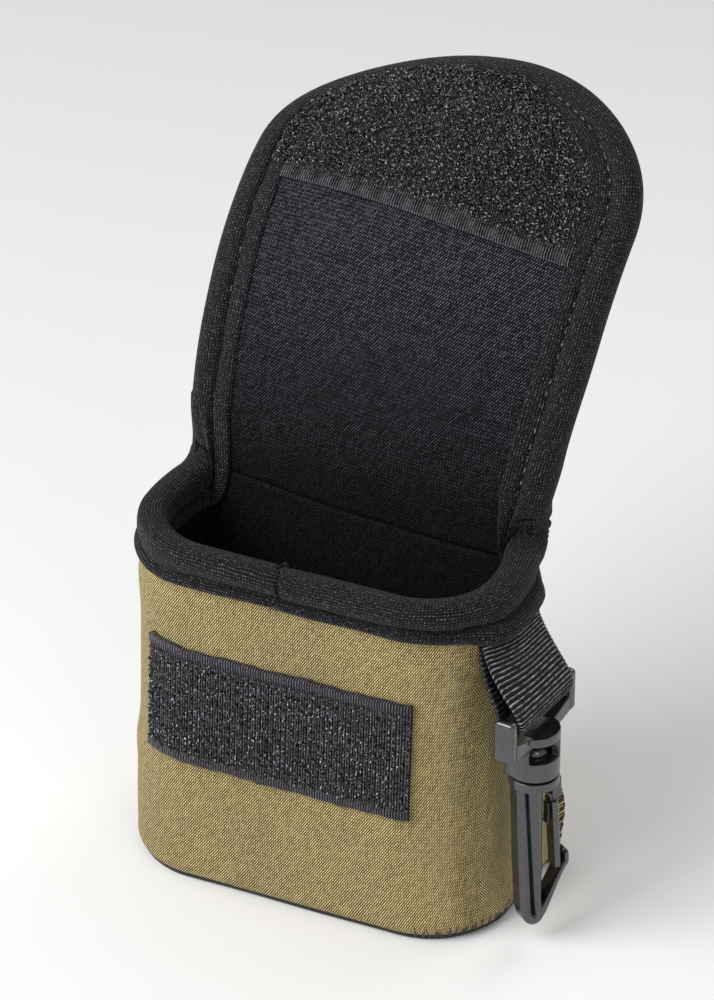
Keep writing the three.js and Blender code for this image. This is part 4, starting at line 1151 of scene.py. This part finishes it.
def soft_block(low, high, edge):
    """Block between two corners, rounded in plan, with its ends softened by the length `edge`."""
    power, count = 5.0, 36
    (x0, y0, z0), (x1, y1, z1) = low, high
    a = np.linspace(0, 2 * math.pi, count, endpoint=False)
    c, s = np.cos(a), np.sin(a)
    ex, ey = np.sign(c) * np.abs(c) ** (2 / power), np.sign(s) * np.abs(s) ** (2 / power)
    rings = []
    for t in np.linspace(0, math.pi, 14):
        inset = edge * (1 - math.sin(t)) if math.sin(t) < 0.999 else 0
        z = (z0 + edge if t < math.pi / 2 else z1 - edge) - edge * math.cos(t)
        x = (x0 + x1) / 2 + ((x1 - x0) / 2 - inset) * ex
        y = (y0 + y1) / 2 + ((y1 - y0) / 2 - inset) * ey
        rings.append(np.stack([x, y, np.full(count, z)], -1))
    return loft(rings)


def make_yoke():
    depth, side, half = 2.1, 2.2, 12.4
    inner = half - side
    ear_top, ear_low, floor, socket_low, window_low = BAR_Z + 1.7, 48.2, 49.5, 43.1, 43.8
    shells = []
    for sign in (-1, 1):
        y0, y1 = sorted((sign * inner, sign * half))
        shells.append(soft_block((-depth, y0, ear_low - 0.4), (depth, y1, ear_top), 0.8))
        slope = [(4, ear_low - 1.6), (half - 0.7, ear_low - 0.1), (half - 0.7, ear_low + 2.6),
                 (inner - 0.2, floor + 1.6), (4, floor)]
        shells.append(prism([(sign * y, z) for y, z in slope], -depth + 0.25, depth - 0.25, "x"))
    arcs = [(BARREL, np.linspace(15, 287, 40)), (3.35, np.linspace(287, 15, 30))]
    socket = [(r * math.cos(a), r * math.sin(a)) for r, angles in arcs for a in np.radians(angles)]
    web = [(-BARREL + 0.3, -4.2), (-1, -5.1), (0.6, -5.25), (0.9, -4.4)]
    shells += [
        prism(socket, socket_low, ear_low),
        prism(round_outline(BARREL), ear_low - 0.6, floor),
        prism(round_outline(BARREL), HOOK_TOP + 0.5, window_low),
        prism(web, HOOK_TOP + 0.7, 48.8),
        prism(round_outline(1.5, 24, (0, BAR_Z)), -inner - 0.5, inner + 0.5, "y"),
    ]
    attach(add_moulding("yoke", shells, HANGER_YAW, 0.15, 6), "yoke", "hook_yoke")


def hook_edge(tip_count, nose_count):
    """The hook's outer edge in its own plane, across then height: round its tip, and up its nose."""
    low = HOOK_TIP
    tip = bezier([(-3.3, low + 7.4), (-3.1, low + 2), (-1.6, low), (0.3, low)], tip_count)
    return tip, bezier([(0.3, low), (3.2, low), (4.3, low + 8.2), (NOSE_OUT, NOSE_TOP - 3)], nose_count)


def hook_outline():
    """Outline of the hook in its own plane, without its repeated points."""
    inner, low = 1.6, EYE_FLOOR
    eye = [(NOSE_IN, NOSE_TOP - 4.6), (NOSE_IN - 2.2, low + 5.4), (4.0, low), (2.9, low)]
    outline = np.concatenate([
        [(-4.6, HOOK_TOP - 0.8), (-3.3, HOOK_TIP + 7.4)],
        *hook_edge(12, 18),
        [(NOSE_OUT - 0.05, NOSE_TOP - 1.2), (NOSE_OUT - 0.35, NOSE_TOP - 0.45), (NOSE_IN + 0.6, NOSE_TOP),
         (NOSE_IN + 0.1, NOSE_TOP - 0.4), (NOSE_IN, NOSE_TOP - 4.6)],
        bezier(eye, 14),
        [(inner + 0.4, low + 0.7), (inner, low + 2.4), (inner, HOOK_TOP - 0.8)],
    ])
    keep = [0]
    for i in range(1, len(outline)):
        if np.linalg.norm(outline[i] - outline[keep[-1]]) > 0.05:
            keep.append(i)
    return outline[keep]


def rim_of_hook():
    """Full-width strips of the hook: its back edge, round the tip and up the nose."""
    tip, nose = hook_edge(14, 20)
    back = np.concatenate([
        [(-4.6, HOOK_TOP - 0.8), (-3.95, 24.0), (-3.3, HOOK_TIP + 7.4)],
        tip[1:],
        nose[1:],
        [(NOSE_OUT - 0.05, NOSE_TOP - 1.2), (NOSE_OUT - 0.3, NOSE_TOP - 0.45)],
    ])
    places = np.linspace(0, 1, len(back))
    widths = np.interp(places, [0, 0.08, 0.35, 0.6, 0.8, 1], [1.5, 1.5, 2.0, 2.0, 1.3, 1.15])
    tangent = unit(np.gradient(back, axis=0))
    across = np.stack([-tangent[:, 1], tangent[:, 0]], -1) * widths[:, None]
    strips = []
    for depth, start, stop in ((1.4, 0.0, 1.0), (1.85, 0.22, 0.92)):
        near, far = back + across * start, back + across * stop
        for i in range(len(back) - 1):
            strips.append(prism([near[i], near[i + 1], far[i + 1], far[i]], -depth, depth, "x"))
    return strips


def make_hook():
    shells = [prism(hook_outline(), -0.75, 0.75, "x")]
    shells += rim_of_hook()
    ridge = []
    for z in np.linspace(HOOK_TOP - 0.5, EYE_FLOOR - 0.9, 28):
        fade = (HOOK_TOP - z) / (HOOK_TOP - EYE_FLOOR)
        wide = 2.15 - 1.1 * fade
        end = math.sqrt(max(0.05, 1 - max(0, (fade - 0.93) / 0.12) ** 2))
        oval = round_outline(1.0, 28) * [(2.45 - 0.1 * fade) * end, wide * end]
        ridge.append(np.insert(oval + [0, 1.6 - wide + 0.1 * fade], 2, z, 1))
    shells.append(loft(ridge))
    shells.append(prism(round_outline(BARREL), HOOK_TOP - 1.9, HOOK_TOP))
    for sign in (-1, 1):
        x0, x1 = sorted((sign * 1.25, sign * 2.2))
        cheek = [(2.9, HOOK_TOP - 1.2), (3.0, 34.1), (3.3, 33.3), (4.1, 33.0), (4.8, 33.4), (5.0, 34.3),
                 (4.9, HOOK_TOP - 1.2)]
        shells.append(prism(cheek, x0, x1, "x"))
    attach(add_moulding("hook", shells, HOOK_YAW, 0.13, 5), "hook", "hook_body")


def make_gate():
    width, thick, high, low = 3.4, 1.5, 32.0, 16.4
    pivot_y, pivot_z = GATE_PIVOT
    top_y, tip_y = pivot_y - thick / 2, NOSE_IN - 0.3 - thick
    rings = []
    for t in np.linspace(0, 1, 12):
        y = top_y + (tip_y - top_y) * t
        half = width / 2 * (1 - 0.12 * t)
        ring = [(-half, y + 0.35), (-half + 0.3, y), (half - 0.3, y), (half, y + 0.35),
                (half, y + thick - 0.3), (half - 0.4, y + thick), (-half + 0.4, y + thick),
                (-half, y + thick - 0.3)]
        rings.append(np.insert(ring, 2, high + (low - high) * t, 1))
    neck = [(-0.9, top_y), (0.9, top_y), (0.9, top_y + thick), (-0.9, top_y + thick)]
    knuckle = prism(round_outline(1.4, 28, GATE_PIVOT), -0.9, 0.9, "x")
    shells = [loft(rings), prism(neck, 31, pivot_z), knuckle]
    attach(add_moulding("gate_tongue", shells, HOOK_YAW, 0.11, 3), "gate", "gate")
    pin = prism(round_outline(0.7, 24, GATE_PIVOT), -2.15, 2.15, "x")
    attach(add_moulding("gate_rivet", [pin], HOOK_YAW, 0.09, 2, STEEL), "hook", "gate_pin")
    leaf, leaf_low, leaf_run = [], 26.9, 4.5
    for z in np.linspace(leaf_low, leaf_low + leaf_run, 16):
        face = 3.05 + 0.12 * math.sin((z - leaf_low) / leaf_run * math.pi)
        leaf.append([(-0.8, face - 0.3, z), (0.8, face - 0.3, z), (0.8, face, z), (-0.8, face, z)])
    points, faces = loft(leaf)
    piece = add_piece("gate_leaf_spring", hang(points, HOOK_YAW), faces, STEEL, shade_smooth=False)
    attach(piece, "gate", "gate_spring")


def make_swivel_pin():
    profile = [(0.01, 34.2), (1.6, 34.2), (1.6, 43.6), (2.5, 43.62), (2.68, 43.75), (2.7, 44.2)]
    profile += [(2.7 * math.cos(a), 44.22 + 1.9 * math.sin(a)) for a in np.linspace(0.15, 1.5, 9)]
    profile.append((0.01, 46.12))
    points, faces = loft([np.insert(round_outline(r, 40), 2, z, 1) for r, z in profile])
    piece = add_piece("swivel_rivet", hang(points, HOOK_YAW), faces, PLASTIC)
    attach(piece, "hook", "swivel_pin")


# Floor, light and camera
def make_stage():
    size = 3.0
    corners = [(-size, -size, 0), (size, -size, 0), (size, size, 0), (-size, size, 0)]
    mesh = bpy.data.meshes.new("floor")
    mesh.from_pydata(corners, [], [(0, 1, 2, 3)])
    floor = placed("floor", mesh)
    s = Shader("floor_paper")
    x, y = (s.node("SeparateXYZ", {0: s.place()}, axis) for axis in (0, 1))
    # Painted shade: the floor paper's colour darkens away from the camera, from 0xF4F4F4 to 0xDDDDDD.
    span = s.fade(s.add_up(0.0, (x, -0.43), (y, 0.9)), -0.1, 0.4, 0.0, 1.0)
    color = s.ramp(span, (0.0, 0xF4F4F4), (0.35, 0xEEEEEE), (1.0, 0xDDDDDD))
    mesh.materials.append(s.finish(color, 0.6, Specular_IOR_Level=0.2))
    world = bpy.data.worlds.new("studio")
    world.use_nodes = True
    world.node_tree.nodes["Background"].inputs[0].default_value = (1, 1, 1, 1)
    world.node_tree.nodes["Background"].inputs[1].default_value = 0.46
    bpy.context.scene.world = world
    for name, place, size, power in (
        ("key", (-0.55, -0.75, 0.85), 0.85, 14.2),
        ("side", (-0.9, 0.05, 0.4), 0.6, 1.2),
        ("fill", (0.75, -0.65, 0.45), 0.5, 1.6),
        ("back", (0.25, 0.8, 0.8), 0.5, 1.8),
    ):
        data = bpy.data.lights.new(name, "AREA")
        data.shape = "SQUARE"
        data.size = size
        data.energy = power
        lamp = placed(name, data)
        lamp.location = place
        aim = Vector((0, 0, 0.06)) - Vector(place)
        lamp.rotation_euler = aim.to_track_quat("-Z", "Y").to_euler()


def make_camera():
    azimuth, elevation, roll = math.radians(25.83), math.radians(30.2), math.radians(0.17)
    target = Vector((0, 0.0085, 0.075))
    level = math.cos(elevation)
    back = Vector((math.sin(azimuth) * level, -math.cos(azimuth) * level, math.sin(elevation)))
    data = bpy.data.cameras.new("camera")
    data.lens = 185.9
    data.sensor_width = 36
    data.shift_x = 0.00276
    data.shift_y = 0.0105
    data.clip_start, data.clip_end = 0.05, 20
    camera = placed("camera", data)
    camera.location = target + back
    turn = (-back).to_track_quat("-Z", "Y").to_matrix() @ Matrix.Rotation(roll, 3, "Z")
    camera.rotation_euler = turn.to_euler()
    bpy.context.scene.camera = camera


make_camera()
make_pocket()
make_floor()
make_flap_cloth()
make_binding()
make_join_fuzz()
make_groove_stitches()
make_loop_patch()
make_loop_selvedge()
make_tape_ground()
make_tape_hooks()
make_tape_stitches()
make_seams()
make_webbing()
make_yoke()
make_hook()
make_gate()
make_swivel_pin()
make_stage()
bpy.context.scene.view_settings.view_transform = "Standard"
